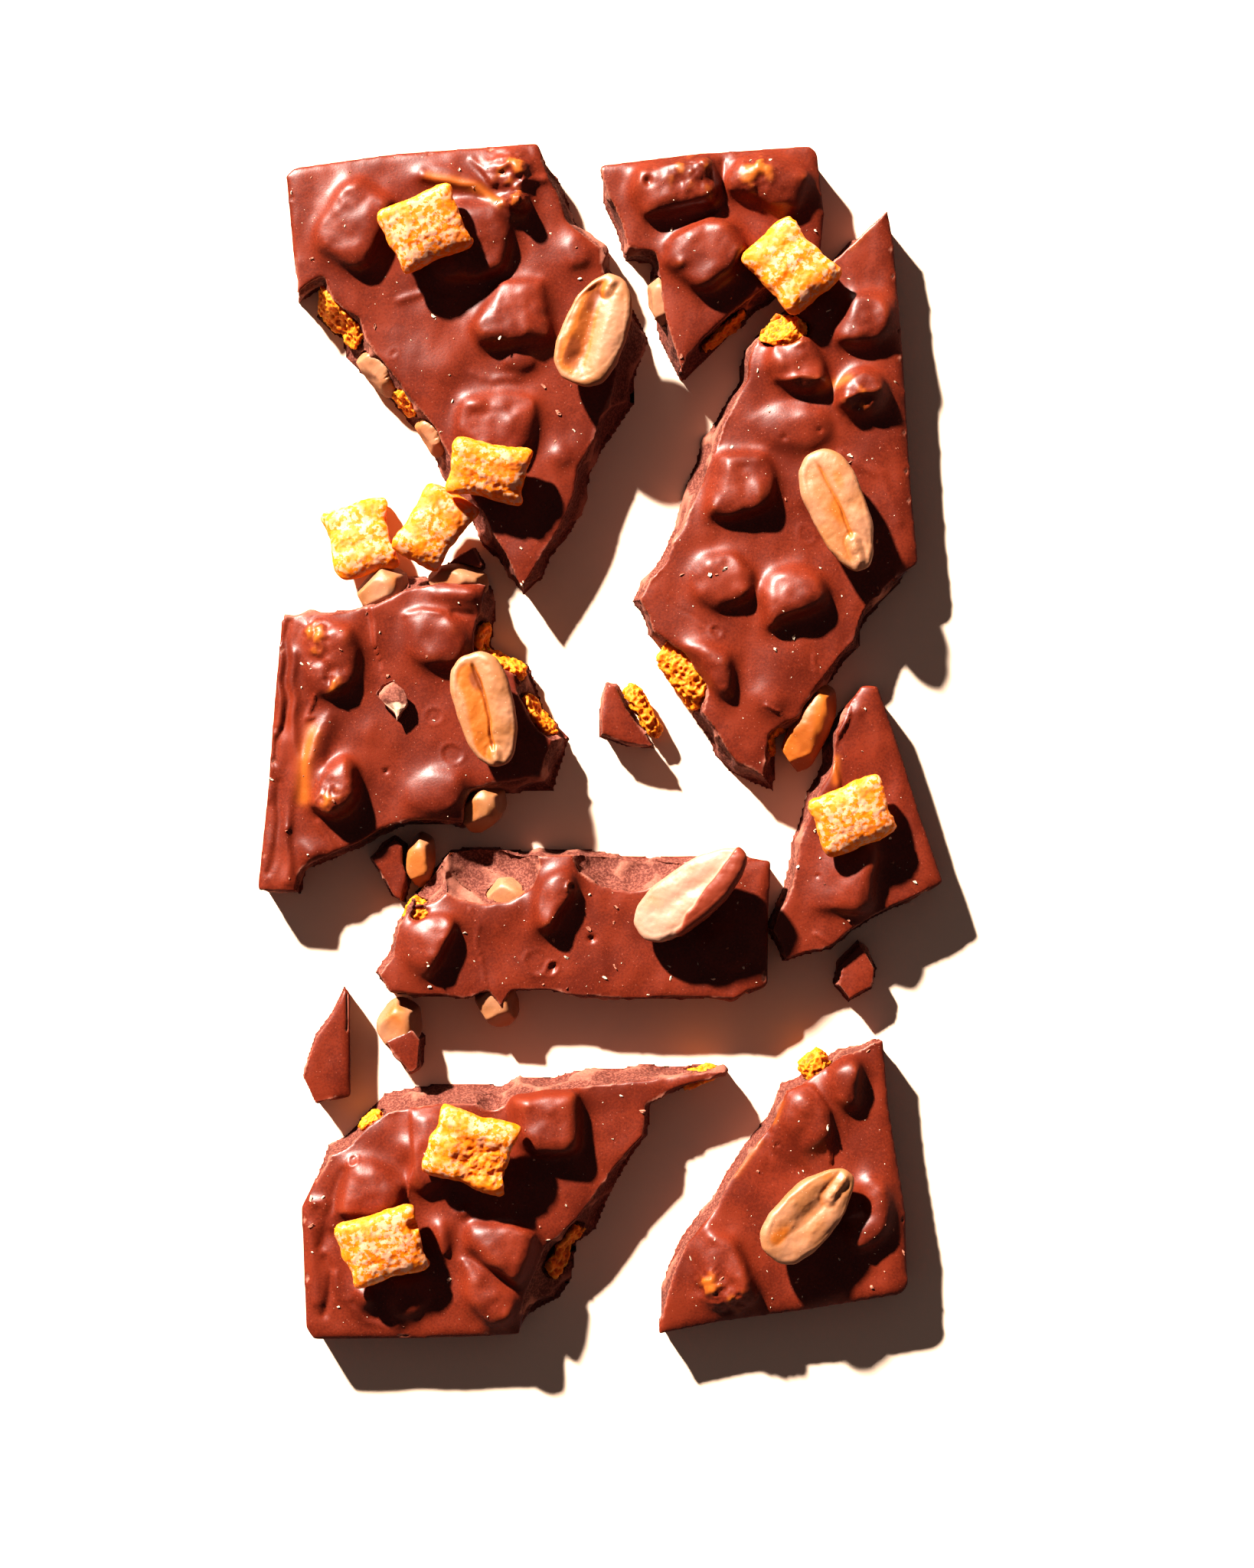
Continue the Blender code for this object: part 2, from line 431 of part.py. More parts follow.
# Round and pillow-shaped solids
def pillow(length, width, height, squareness, sides=12, layers=8):
    """A ball whose plan is swelled towards a rectangle."""
    bm = bmesh.new()
    bmesh.ops.create_uvsphere(bm, u_segments=sides, v_segments=layers, radius=1.0)
    for vert in bm.verts:
        x, y, z = vert.co
        plan = (abs(x) ** squareness + abs(y) ** squareness) ** (2 / squareness)
        swell = 1 / math.sqrt(plan + z * z)
        vert.co = (x * swell * length / 2, y * swell * width / 2, z * swell * height / 2)
    return bm


def place(bm, x, y, z, turn=0, tilt_along=0, tilt_across=0):
    """Tilt a solid about its own axes, turn it about Z, and move it to its place."""
    turn_matrix = Matrix.Rotation(math.radians(turn), 4, "Z")
    along_matrix = Matrix.Rotation(math.radians(tilt_along), 4, "Y")
    across_matrix = Matrix.Rotation(math.radians(tilt_across), 4, "X")
    matrix = Matrix.Translation((x, y, z)) @ turn_matrix @ along_matrix @ across_matrix
    bmesh.ops.transform(bm, matrix=matrix, verts=bm.verts)
    return bm


def lump(shoulder):
    """A swelling of the top, lofted from a sunk foot over its shoulder to its crest."""
    count = len(shoulder)
    centre_x = sum(x for x, _, _ in shoulder) / count
    centre_y = sum(y for _, y, _ in shoulder) / count
    mean_rise = sum(rise for _, _, rise in shoulder) / count
    bm = bmesh.new()
    foot, edge, crest = [], [], []
    for (x, y, rise), away in zip(shoulder, outward(shoulder)):
        foot_x = x + LUMP_SKIRT * away.x
        foot_y = y + LUMP_SKIRT * away.y
        crest_x = centre_x + LUMP_CREST * (x - centre_x)
        crest_y = centre_y + LUMP_CREST * (y - centre_y)
        foot.append(bm.verts.new((foot_x, foot_y, SLAB - LUMP_SUNK)))
        edge.append(bm.verts.new((x, y, SLAB + LUMP_SHOULDER * rise)))
        crest.append(bm.verts.new((crest_x, crest_y, SLAB + rise)))
    cap = bm.verts.new((centre_x, centre_y, SLAB + mean_rise + LUMP_CAP))
    for i in range(count):
        j = (i + 1) % count
        bm.faces.new((foot[i], foot[j], edge[j], edge[i]))
        bm.faces.new((edge[i], edge[j], crest[j], crest[i]))
        bm.faces.new((crest[i], crest[j], cap))
    bm.faces.new(foot)
    return bm


def scoop(x, y, length, width, turn, depth):
    """A ball that cuts a shell-shaped hollow down from above the top."""
    above = 2.0
    bm = pillow(length, width, 2 * (depth + above), 2.2, sides=12, layers=8)
    return place(bm, x, y, SLAB + above, turn)


def inclusion(kind, x, y, z, length, width, height, turn, clearance=0.0):
    squareness = 5 if kind == "cereal" else 2.2
    grow = 2 * clearance
    bm = pillow(length + grow, width + grow, height + grow, squareness, sides=8, layers=5)
    return place(bm, x, y, z, turn)


# Boolean work
def combine(target, operation, others):
    """Apply one Boolean of the target with other objects, which are then removed."""
    if not others:
        return
    operands = bpy.data.collections.new("operands")
    for other in others:
        other.hide_render = True
        other.display_type = "WIRE"
        operands.objects.link(other)
    modifier = target.modifiers.new("combine", "BOOLEAN")
    modifier.operation = operation
    modifier.solver = "EXACT"
    modifier.operand_type = "COLLECTION"
    modifier.collection = operands
    view = bpy.context.evaluated_depsgraph_get()
    result = bpy.data.meshes.new_from_object(target.evaluated_get(view))
    target.modifiers.remove(modifier)
    target.data = result
    bpy.data.collections.remove(operands)
    for other in others:
        bpy.data.objects.remove(other)


def clean(thing):
    """Merge the hair-thin slivers that a Boolean leaves, and keep the biggest body."""
    bm = bmesh.new()
    bm.from_mesh(thing.data)
    bmesh.ops.remove_doubles(bm, verts=bm.verts, dist=0.02 * MM)
    bmesh.ops.dissolve_degenerate(bm, edges=bm.edges, dist=0.01 * MM)
    bmesh.ops.triangulate(bm, faces=bm.faces)
    bodies = separate_bodies(bm)
    biggest = max(bodies, key=len)
    scraps = [face for body in bodies if body is not biggest for face in body]
    bmesh.ops.delete(bm, geom=scraps, context="FACES")
    bm.to_mesh(thing.data)
    bm.free()


def separate_bodies(bm):
    """The faces of each body of a mesh, taken together where they share an edge."""
    unseen = set(bm.faces)
    bodies = []
    while unseen:
        first = unseen.pop()
        body = [first]
        for face in body:
            for edge in face.edges:
                for other in edge.link_faces:
                    if other in unseen:
                        unseen.remove(other)
                        body.append(other)
        bodies.append(body)
    return bodies


# Toppings
def cereal_square(length, width):
    """A puffed square with ridges along its length and scalloped ends."""
    along, across = 6, 9
    bm = bmesh.new()
    bmesh.ops.create_grid(bm, x_segments=along, y_segments=across, size=1.0)
    upper = list(bm.verts)
    extruded = bmesh.ops.extrude_face_region(bm, geom=bm.faces[:])
    lower = [item for item in extruded["geom"] if isinstance(item, bmesh.types.BMVert)]
    for verts, side in ((upper, 1), (lower, -1)):
        for vert in verts:
            u, v = vert.co.x, vert.co.y
            puff = 0.34 + 0.66 * (1 - u ** 4) * (1 - v ** 4)
            wave = math.cos(3 * math.pi * v)
            z = side * (CEREAL_THICK / 2 - CEREAL_RIDGE) * puff + CEREAL_RIDGE * wave
            x = u * length / 2 * (1 + 0.04 * wave)
            y = v * width / 2 * (1 - 0.05 * math.cos(2 * math.pi * u))
            vert.co = (x, y, z)
    return bm


def peanut_half(length, width):
    """Half a kernel: rounded back down, inner face up with the slit and the seed's tip."""
    bm = bmesh.new()
    bmesh.ops.create_uvsphere(bm, u_segments=14, v_segments=8, radius=1.0)
    for vert in bm.verts:
        u, v, w = vert.co
        taper = 1 - 0.12 * u
        if w > 0:
            slit = NUT_GROOVE * math.exp(-(v / 0.22) ** 2) * (1 - u * u)
            z = NUT_FACE * w - slit
        else:
            z = w * (NUT_THICK - NUT_FACE)
        vert.co = (u * length / 2, v * width / 2 * taper, z)
    return bm


def drop(thing, carriers):
    """Lower an object until it just clears whatever lies under it."""
    view = bpy.context.evaluated_depsgraph_get()
    down = Vector((0, 0, -1))
    sky = 0.1
    verts = thing.data.vertices
    own_tree = BVHTree.FromObject(thing, view)
    room = min(vert.co.z for vert in verts)
    for carrier in carriers:
        tree = BVHTree.FromObject(carrier, view)
        for vert in verts:
            hit = tree.ray_cast(Vector((vert.co.x, vert.co.y, sky)), down)[0]
            if hit:
                room = min(room, vert.co.z - hit.z)
        for vert in carrier.data.vertices:
            hit = own_tree.ray_cast(vert.co, -down)[0]
            if hit:
                room = min(room, hit.z - vert.co.z)
    thing.data.transform(Matrix.Translation((0, 0, GAP * MM - room)))


def build_shard(name, outline, bar, cutters, finishes, rng):
    """One shard: the slab with its lumps, hollows and the pockets of what shows in its sides."""
    shard = new_object(name, slab_piece(outline, SLAB, rng), bar, finishes["chocolate"])
    plain_slab = shard.data.copy()
    swellings = [new_object("lump", lump(line), cutters) for line in LUMPS[name]]
    combine(shard, "UNION", swellings)
    hollows = [new_object("scoop", scoop(*values), cutters) for values in SCOOPS.get(name, [])]
    pockets = []
    for number, (*values, snapped) in enumerate(INCLUSIONS.get(name, []), start=1):
        kind = values[0]
        piece = new_object(f"{name}_{kind}_{number}", inclusion(*values), bar, finishes[kind])
        if snapped:
            around = bpy.data.objects.new("around", plain_slab.copy())
            cutters.objects.link(around)
            combine(piece, "INTERSECT", [around])
            clean(piece)
        pockets.append(new_object("pocket", inclusion(*values, clearance=GAP), cutters))
    combine(shard, "DIFFERENCE", hollows + pockets)
    clean(shard)


def build_chip(name, thickness, outline, bar, cutters, finishes, rng):
    """A small broken bit of slab, with the nut or cereal that lies in its side."""
    chip = new_object(name, slab_piece(outline, thickness, rng), bar, finishes["chocolate"])
    for core_name, values in CHIP_CORES.items():
        if core_name.startswith(name):
            new_object(core_name, inclusion(*values), bar, finishes[values[0]])
            pocket = new_object("pocket", inclusion(*values, clearance=GAP), cutters)
            combine(chip, "DIFFERENCE", [pocket])
    clean(chip)


def build_toppings(bar, finishes):
    """Everything that lies on the chocolate, made above it and lowered onto it."""
    carriers = list(bar.objects)
    x, y, length, width, height, turn = LOOSE_CHIP
    crumb = place(pillow(length, width, height, 3, sides=8, layers=6), x, y, DROP_FROM, turn)
    toppings = [new_object("chip_on_left", crumb, bar, finishes["chocolate"])]
    for shape, kind, rows in ((cereal_square, "cereal", CEREAL_TOPPINGS),
                              (peanut_half, "nut", NUT_TOPPINGS)):
        for name, x, y, length, width, turn, tilt_along, tilt_across in rows:
            bm = place(shape(length, width), x, y, DROP_FROM, turn, tilt_along, tilt_across)
            toppings.append(new_object(name, bm, bar, finishes[kind]))
    for topping in toppings:
        drop(topping, carriers)


def build():
    clear_scene()
    bar = bpy.data.collections.new("chocolate_bar")
    cutters = bpy.data.collections.new("cutters")
    for collection in (bar, cutters):
        bpy.context.scene.collection.children.link(collection)
    finishes = {
        "chocolate": make_material("milk_chocolate", CHOCOLATE, 0.35),
        "cereal": make_material("corn_cereal", CEREAL, 0.75),
        "nut": make_material("roasted_peanut", PEANUT, 0.45),
    }
    rng = random.Random(11)
    for name, outline in SHARD_OUTLINES.items():
        build_shard(name, outline, bar, cutters, finishes, rng)
    for name, (thickness, outline) in CHIPS.items():
        build_chip(name, thickness, outline, bar, cutters, finishes, rng)
    build_toppings(bar, finishes)
    for thing in bar.objects:
        thing.data.shade_smooth()
        thing.data.set_sharp_from_angle(angle=math.radians(35))
    print("objects", len(bar.objects))


if __name__ == "__main__":
    build()
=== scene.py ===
# %% [markdown]
# # A snapped peanut and cereal chocolate bar
#
# The real thing is a flat bar of milk chocolate. Peanut halves and squares of puffed corn were stirred
# into it, so its top is swollen by what lies just under the skin. The bar was then snapped into eight
# shards, and a few more peanuts and cereal squares were laid on top.
# The solids of all pieces are loaded first. They fix every size and place, and this lesson dresses them:
# each solid is copied, cut into a fine mesh like a lump of clay, and worked over with a few tools.

# %% Load the solids
import math
import random

import bmesh
import bpy
import numpy as np
from mathutils import Matrix, Vector, noise
from mathutils.bvhtree import BVHTree


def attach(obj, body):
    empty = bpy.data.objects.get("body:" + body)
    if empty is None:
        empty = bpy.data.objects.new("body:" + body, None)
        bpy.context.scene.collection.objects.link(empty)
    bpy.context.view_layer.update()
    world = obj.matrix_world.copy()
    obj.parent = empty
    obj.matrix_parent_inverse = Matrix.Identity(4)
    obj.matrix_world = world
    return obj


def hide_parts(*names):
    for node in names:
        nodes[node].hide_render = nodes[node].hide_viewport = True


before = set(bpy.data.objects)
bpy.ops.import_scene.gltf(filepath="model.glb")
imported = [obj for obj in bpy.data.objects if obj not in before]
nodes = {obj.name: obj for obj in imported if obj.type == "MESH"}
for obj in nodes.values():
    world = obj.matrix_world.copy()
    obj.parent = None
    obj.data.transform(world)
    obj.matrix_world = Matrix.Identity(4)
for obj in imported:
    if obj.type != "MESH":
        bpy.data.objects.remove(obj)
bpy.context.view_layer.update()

# %% [markdown]
# ## A fine net
#
# A solid has a few hundred facets, which is too coarse to carry the waves of poured chocolate or the grain
# of a break. Subdividing it would keep its long thin triangles. The Remesh modifier wraps it in an even
# net of small squares instead, which can be pushed about anywhere.
# Lengths are in millimetres while a piece is worked and become metres when it is finished.

# %% Millimetres and the fine net
MM = 0.001
SLAB = 7.0             # thickness of the bar between its lumps


def merged(name):
    """A solid as one bmesh in millimetres, its loose triangles joined at their corners."""
    bm = bmesh.new()
    bm.from_mesh(nodes[name].data)
    bmesh.ops.remove_doubles(bm, verts=bm.verts, dist=1e-7)
    bmesh.ops.scale(bm, vec=(1 / MM, 1 / MM, 1 / MM), verts=bm.verts)
    return bm


def to_object(bm, name):
    mesh = bpy.data.meshes.new(name)
    bm.to_mesh(mesh)
    bm.free()
    thing = bpy.data.objects.new(name, mesh)
    bpy.context.scene.collection.objects.link(thing)
    return thing


def netted(bm, cell):
    """Wrap a closed shape in an even net of squares of the given size."""
    thing = to_object(bm, "net")
    net = thing.modifiers.new("net", "REMESH")
    net.mode = "VOXEL"
    net.voxel_size = cell
    view = bpy.context.evaluated_depsgraph_get()
    mesh = bpy.data.meshes.new_from_object(thing.evaluated_get(view))
    bpy.data.objects.remove(thing)
    return mesh


trial = merged("shard_right")
print("shard_right holds", round(trial.calc_volume() / 1000, 1), "cm3")
trial.free()

# %% [markdown]
# ## Clay: all points as one array
#
# A sculptor's brush moves the points under it. In code, all points of a net are held as one array of
# numbers and moved together, which is quick even for fifty thousand of them. `push` swells or sinks the
# surface, `relax` evens it out, `spread` blurs a number over its neighbours, and `note` leaves a number on
# the mesh for its material to read.

# %% Clay
class Clay:
    """A netted mesh whose points are moved as one array, in millimetres."""

    def __init__(self, mesh):
        self.mesh = mesh
        self.count = len(mesh.vertices)
        flat = np.empty(self.count * 3, np.float32)
        mesh.vertices.foreach_get("co", flat)
        self.co = flat.reshape(-1, 3).astype(float)
        ends = np.empty(len(mesh.edges) * 2, np.int32)
        mesh.edges.foreach_get("vertices", ends)
        self.ends = ends.reshape(-1, 2)
        self.degree = np.maximum(np.bincount(ends, minlength=self.count), 1)

    def around(self, values):
        """The mean of each point's neighbours, for one number or three numbers a point."""
        first, second = self.ends.T
        columns = values.reshape(self.count, -1)
        total = [np.bincount(first, columns[second, i], self.count)
                 + np.bincount(second, columns[first, i], self.count)
                 for i in range(columns.shape[1])]
        return (np.stack(total, axis=1) / self.degree[:, None]).reshape(values.shape)

    def spread(self, values, times):
        """Blur numbers, or the points themselves, over each point's neighbours."""
        for _ in range(times):
            values = 0.5 * values + 0.5 * self.around(values)
        return values

    def normals(self):
        flat = np.empty(self.count * 3, np.float32)
        self.mesh_now().vertices.foreach_get("normal", flat)
        return flat.reshape(-1, 3).astype(float)

    def push(self, amount):
        """Move each point along its normal."""
        self.co += self.normals() * np.broadcast_to(amount, self.count)[:, None]

    def relax(self, hollow, crest, times):
        """Even out the net, by one share in hollows and another on crests."""
        for turn in range(times):
            if turn % 5 == 0:
                away = self.normals()
            pull = self.around(self.co) - self.co
            filling = np.einsum("ij,ij->i", pull, away) > 0
            self.co += pull * np.where(filling, hollow, crest)[:, None]

    def rest(self):
        """Flatten what has sunk under the table."""
        self.co[:, 2] = np.maximum(self.co[:, 2], 0)

    def mesh_now(self):
        """The mesh with all moves written to it."""
        self.mesh.vertices.foreach_set("co", self.co.astype(np.float32).ravel())
        self.mesh.update()
        return self.mesh

    def note(self, name, values):
        """Keep one number a point on the mesh, for its material to read."""
        self.mesh.attributes.new(name, "FLOAT", "POINT")
        self.mesh.attributes[name].data.foreach_set("value", values.astype(np.float32))

    def smoothed(self, turns):
        """All points after their surroundings were evened out."""
        smooth = self.co
        for _ in range(turns):
            smooth = self.around(smooth)
        return smooth

    def crest(self, turns):
        """How far each point stands out of its smoothed surroundings."""
        return np.einsum("ij,ij->i", self.co - self.smoothed(turns), self.normals())


print("clay tools:", [tool for tool in vars(Clay) if not tool.startswith("_")])

# %% [markdown]
# ## Noise for uneven surfaces
#
# Nothing edible is even. `ripple` gives soft bumps of a chosen width, made by blending random numbers that
# sit on a lattice, and `crag` lays three sizes of it on top of each other. `shells` gives hollows that meet
# in sharp ridges, which is how brittle things break, and how bubbles sit side by side in a puffed square.

# %% Noise
PERIOD = 32            # cells of the lattice before it repeats
LATTICE = np.random.default_rng(7).random((PERIOD, PERIOD, PERIOD))


def ripple(co, size, shift=0.0):
    """Soft bumps from -1 to 1, about as wide as the size says."""
    spot = co / size + shift
    cell = np.floor(spot).astype(int)
    part = spot - cell
    part = part * part * (3 - 2 * part)
    total = np.zeros(len(co))
    for corner in np.ndindex(2, 2, 2):
        near = np.where(corner, part, 1 - part).prod(axis=1)
        x, y, z = ((cell + corner) % PERIOD).T
        total += near * LATTICE[x, y, z]
    return 2 * total - 1


def crag(co, size, shift=0.0):
    """Three sizes of ripple on top of each other."""
    return (ripple(co, size, shift) + 0.5 * ripple(co, size / 2.1, shift + 5)
            + 0.25 * ripple(co, size / 4.3, shift + 9)) / 1.4


def sway(co, size, shifts, kind=ripple):
    """Noise with one column for each shift, to move points along as many axes."""
    return np.stack([kind(co, size, shift) for shift in shifts], axis=1)


def shells(co, size, where=None):
    """Distance to the middle of the nearest cell: 0 in its middle, about 1 at its rim."""
    found = np.zeros(len(co))
    chosen = range(len(co)) if where is None else np.flatnonzero(where)
    for i in chosen:
        found[i] = noise.voronoi(Vector(co[i] / size))[0][0]
    return found


def pits(co, size, reach):
    """1 in the middle of each cell, falling to 0 at the given share of the way to its rim."""
    return np.clip(1 - shells(co, size) / reach, 0, 1)


print("ripple from", round(ripple(np.arange(300.0).reshape(-1, 3), 3).min(), 2))

# %% [markdown]
# A mark is strongest at its middle and fades out with distance, and a mask turns on over a stretch. Hard
# limits would leave creases in the net, so both follow smooth curves.

# %% Smooth limits
def bell(distance, width):
    """1 at distance 0, falling smoothly to 0 over about twice the width."""
    return np.exp(-(distance / width) ** 2)


def ease(values, low, high):
    """0 below the low value, 1 above the high one, and a smooth step between."""
    part = np.clip((values - low) / (high - low), 0, 1)
    return part * part * (3 - 2 * part)


print("at its width a bell has fallen to", round(float(bell(1.0, 1.0)), 2))

# %% [markdown]
# ## Finishing a piece
#
# Every finished piece gets the same treatment: it is brought to metres, shaded smooth, given its material,
# set to ride on the bar's one body, and named as the stand-in for the solid that it dresses. One function
# does all of it, so that no piece misses a step. Only the loose crumbs stay faceted and dress no solid.

# %% Finish a piece
BODY = "root"
finishes = {}
made = {}


def finish_piece(mesh, name, material, stands_for=(), smooth=True):
    mesh.transform(Matrix.Scale(MM, 4))
    if smooth:
        mesh.shade_smooth()
    mesh.materials.clear()
    mesh.materials.append(finishes[material])
    thing = bpy.data.objects.new(name, mesh)
    bpy.context.scene.collection.objects.link(thing)
    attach(thing, BODY)
    if stands_for:
        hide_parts(*stands_for)
    made[name] = thing


# %% [markdown]
# ## Shaders made of small parts
#
# A material is a tree of nodes. It could be drawn in the node editor, but in code it can be read, changed
# and made twice. These helpers make a node, set its inputs, and link nodes to each other.

# %% Shader helpers
def new_material(name):
    material = bpy.data.materials.new(name)
    material.use_nodes = True
    tree = material.node_tree
    return material, tree, tree.nodes["Principled BSDF"]


def add(tree, kind, **values):
    """Add a node, and set its properties and its inputs by name."""
    node = tree.nodes.new(kind)
    for key, value in values.items():
        if key in node.inputs:
            node.inputs[key].default_value = value
        else:
            setattr(node, key, value)
    return node


def settle(node, values):
    """Set a node's inputs to plain values."""
    for key, value in values.items():
        node.inputs[key].default_value = value


def feed(tree, socket, value):
    """Link another node's output to a socket, or set the socket to a plain value."""
    if isinstance(value, bpy.types.NodeSocket):
        tree.links.new(value, socket)
    elif isinstance(value, tuple):
        socket.default_value = (*value, 1.0)
    else:
        socket.default_value = value


trial = new_material("trial")[0]
print("a new material has the nodes", [node.name for node in trial.node_tree.nodes])
bpy.data.materials.remove(trial)

# %% [markdown]
# The same few nodes come back in every food: a mix of two colours by a mask, a number brought to a new
# range, a sum, and a number read from the mesh. With one helper for each, a finish reads like a recipe.

# %% Colours, numbers and masks
def mix_colour(tree, mask, first, second):
    node = add(tree, "ShaderNodeMix", data_type="RGBA")
    for socket, value in ((node.inputs[0], mask), (node.inputs[6], first), (node.inputs[7], second)):
        feed(tree, socket, value)
    return node.outputs[2]


def remap(tree, value, low, high, new_low=0.0, new_high=1.0):
    node = add(tree, "ShaderNodeMapRange", interpolation_type="SMOOTHSTEP")
    feed(tree, node.inputs["Value"], value)
    settle(node, {"From Min": low, "From Max": high, "To Min": new_low, "To Max": new_high})
    return node.outputs["Result"]


def calculate(tree, operation, first, second):
    node = add(tree, "ShaderNodeMath", operation=operation)
    feed(tree, node.inputs[0], first)
    feed(tree, node.inputs[1], second)
    return node.outputs[0]


def attribute(tree, name):
    return add(tree, "ShaderNodeAttribute", attribute_name=name).outputs["Fac"]


print("recipe words", [word.__name__ for word in (mix_colour, remap, calculate, attribute)])

# %% [markdown]
# ## Effects that all foods share
#
# All three foods have a fine grain, small specks and a slow change of shade from place to place. These are
# made once as a node group that puts out three masks, and each food turns them into its own colours. The
# patterns are sized in metres and read the piece's own coordinates, so they stay put when the bar is turned.

# %% Shared effects
def new_group(name, inputs, outputs):
    group = bpy.data.node_groups.new(name, "ShaderNodeTree")
    for label, value in inputs.items():
        socket = group.interface.new_socket(label, in_out="INPUT", socket_type="NodeSocketFloat")
        socket.default_value = value
    for label in outputs:
        group.interface.new_socket(label, in_out="OUTPUT", socket_type="NodeSocketFloat")
    return group, group.nodes.new("NodeGroupInput"), group.nodes.new("NodeGroupOutput")


def build_grain():
    """Fine grain, small specks and slow mottling, sized in metres."""
    group, enter, leave = new_group(
        "food_grain", {"Grain Size": 0.0004, "Speck Size": 0.001, "Speck Share": 0.2},
        ("Grain", "Specks", "Mottle"))
    place = add(group, "ShaderNodeTexCoord").outputs["Object"]
    fine = add(group, "ShaderNodeTexNoise", Detail=3.0, Roughness=0.6)
    coarse = add(group, "ShaderNodeTexNoise", Scale=160.0, Detail=2.0)
    dots = add(group, "ShaderNodeTexVoronoi")
    for texture in (fine, coarse, dots):
        feed(group, texture.inputs["Vector"], place)
    feed(group, fine.inputs["Scale"], calculate(group, "DIVIDE", 1.0, enter.outputs["Grain Size"]))
    feed(group, dots.inputs["Scale"], calculate(group, "DIVIDE", 1.0, enter.outputs["Speck Size"]))
    near = calculate(group, "LESS_THAN", dots.outputs["Distance"], enter.outputs["Speck Share"])
    feed(group, leave.inputs["Grain"], fine.outputs["Fac"])
    feed(group, leave.inputs["Specks"], near)
    feed(group, leave.inputs["Mottle"], coarse.outputs["Fac"])
    return group


GRAIN = build_grain()
masks = [item.name for item in GRAIN.interface.items_tree if item.in_out == "OUTPUT"]
print("group", GRAIN.name, "puts out", masks)


def grain(tree, size, speck_size, speck_share):
    node = tree.nodes.new("ShaderNodeGroup")
    node.node_tree = GRAIN
    settle(node, {"Grain Size": size, "Speck Size": speck_size, "Speck Share": speck_share})
    return node.outputs


def bump(tree, shader, height, strength, distance):
    node = add(tree, "ShaderNodeBump", Strength=strength, Distance=distance)
    feed(tree, node.inputs["Height"], height)
    feed(tree, shader.inputs["Normal"], node.outputs["Normal"])


# %% [markdown]
# ## Milk chocolate
#
# Chocolate that set against the air has a satin skin: a dark red brown with tiny lighter specks of milk and
# sugar, and amber where it is so thin that a nut shines through. The same amber is also painted faintly on
# the crests of the lumps and on some ridges, as a painted glow of light. Where it was snapped the skin is
# gone, and the crumb is paler, pink and dull. Its rim is pale where it was crushed, and the same pale is
# laid on edges that catch the lamp as a painted highlight. One material does both, as each mesh carries the
# numbers `snapped`, `rim`, `thin` and `cream`, which mix the colours from point to point and leave
# no seam.

# %% Milk chocolate
SKIN_DARK = (0.104, 0.0118, 0.0034)
SKIN_LIGHT = (0.168, 0.0218, 0.0066)
# Amber of skin thin over a nut, also used as a painted glow of light on crests and ridges
THIN_SKIN_AND_LIT_EDGE = (0.38, 0.095, 0.011)
MILK_SPECKS = (0.36, 0.11, 0.07)
CRUMB_DARK = (0.092, 0.0160, 0.0078)
CRUMB_LIGHT = (0.21, 0.062, 0.039)
# Pale of a crushed rim, also laid as a painted highlight on edges that catch the lamp
CRUSHED_RIM_AND_HIGHLIGHT = (0.42, 0.155, 0.10)
SUGAR_CREAM = (0.66, 0.42, 0.29)
SATIN, DULL = 0.43, 0.85       # roughness of the skin and of the crumb


def chocolate_finish():
    """A satin skin where it was poured, and a dull pink crumb where it was snapped."""
    material, tree, shader = new_material("poured_milk_chocolate")
    parts = grain(tree, 0.00035, 0.0009, 0.09)
    snapped = attribute(tree, "snapped")
    shade = calculate(tree, "ADD", parts["Mottle"], parts["Grain"])
    skin = mix_colour(tree, remap(tree, shade, 0.75, 1.25), SKIN_DARK, SKIN_LIGHT)
    thin = mix_colour(tree, attribute(tree, "thin"), skin, THIN_SKIN_AND_LIT_EDGE)
    milky = mix_colour(tree, calculate(tree, "MULTIPLY", parts["Specks"], 0.5), thin, MILK_SPECKS)
    crumb = mix_colour(tree, remap(tree, parts["Grain"], 0.42, 0.64), CRUMB_DARK, CRUMB_LIGHT)
    body = mix_colour(tree, snapped, milky, crumb)
    crushed_and_highlit = mix_colour(tree, attribute(tree, "rim"), body, CRUSHED_RIM_AND_HIGHLIGHT)
    creamy = mix_colour(tree, attribute(tree, "cream"), crushed_and_highlit, SUGAR_CREAM)
    feed(tree, shader.inputs["Base Color"], creamy)
    feed(tree, shader.inputs["Roughness"], remap(tree, snapped, 0.1, 0.8, SATIN, DULL))
    settle(shader, {"Specular IOR Level": 0.38, "Subsurface Weight": 0.12,
                    "Subsurface Radius": (1.0, 0.3, 0.12), "Subsurface Scale": 0.0008})
    rough = remap(tree, snapped, 0.0, 1.0, 1.0, 1.8)
    bump(tree, shader, calculate(tree, "MULTIPLY", parts["Grain"], rough), 0.30, 0.00007)
    return material


finishes["chocolate"] = chocolate_finish()
print(finishes["chocolate"].name, len(finishes["chocolate"].node_tree.nodes), "nodes")
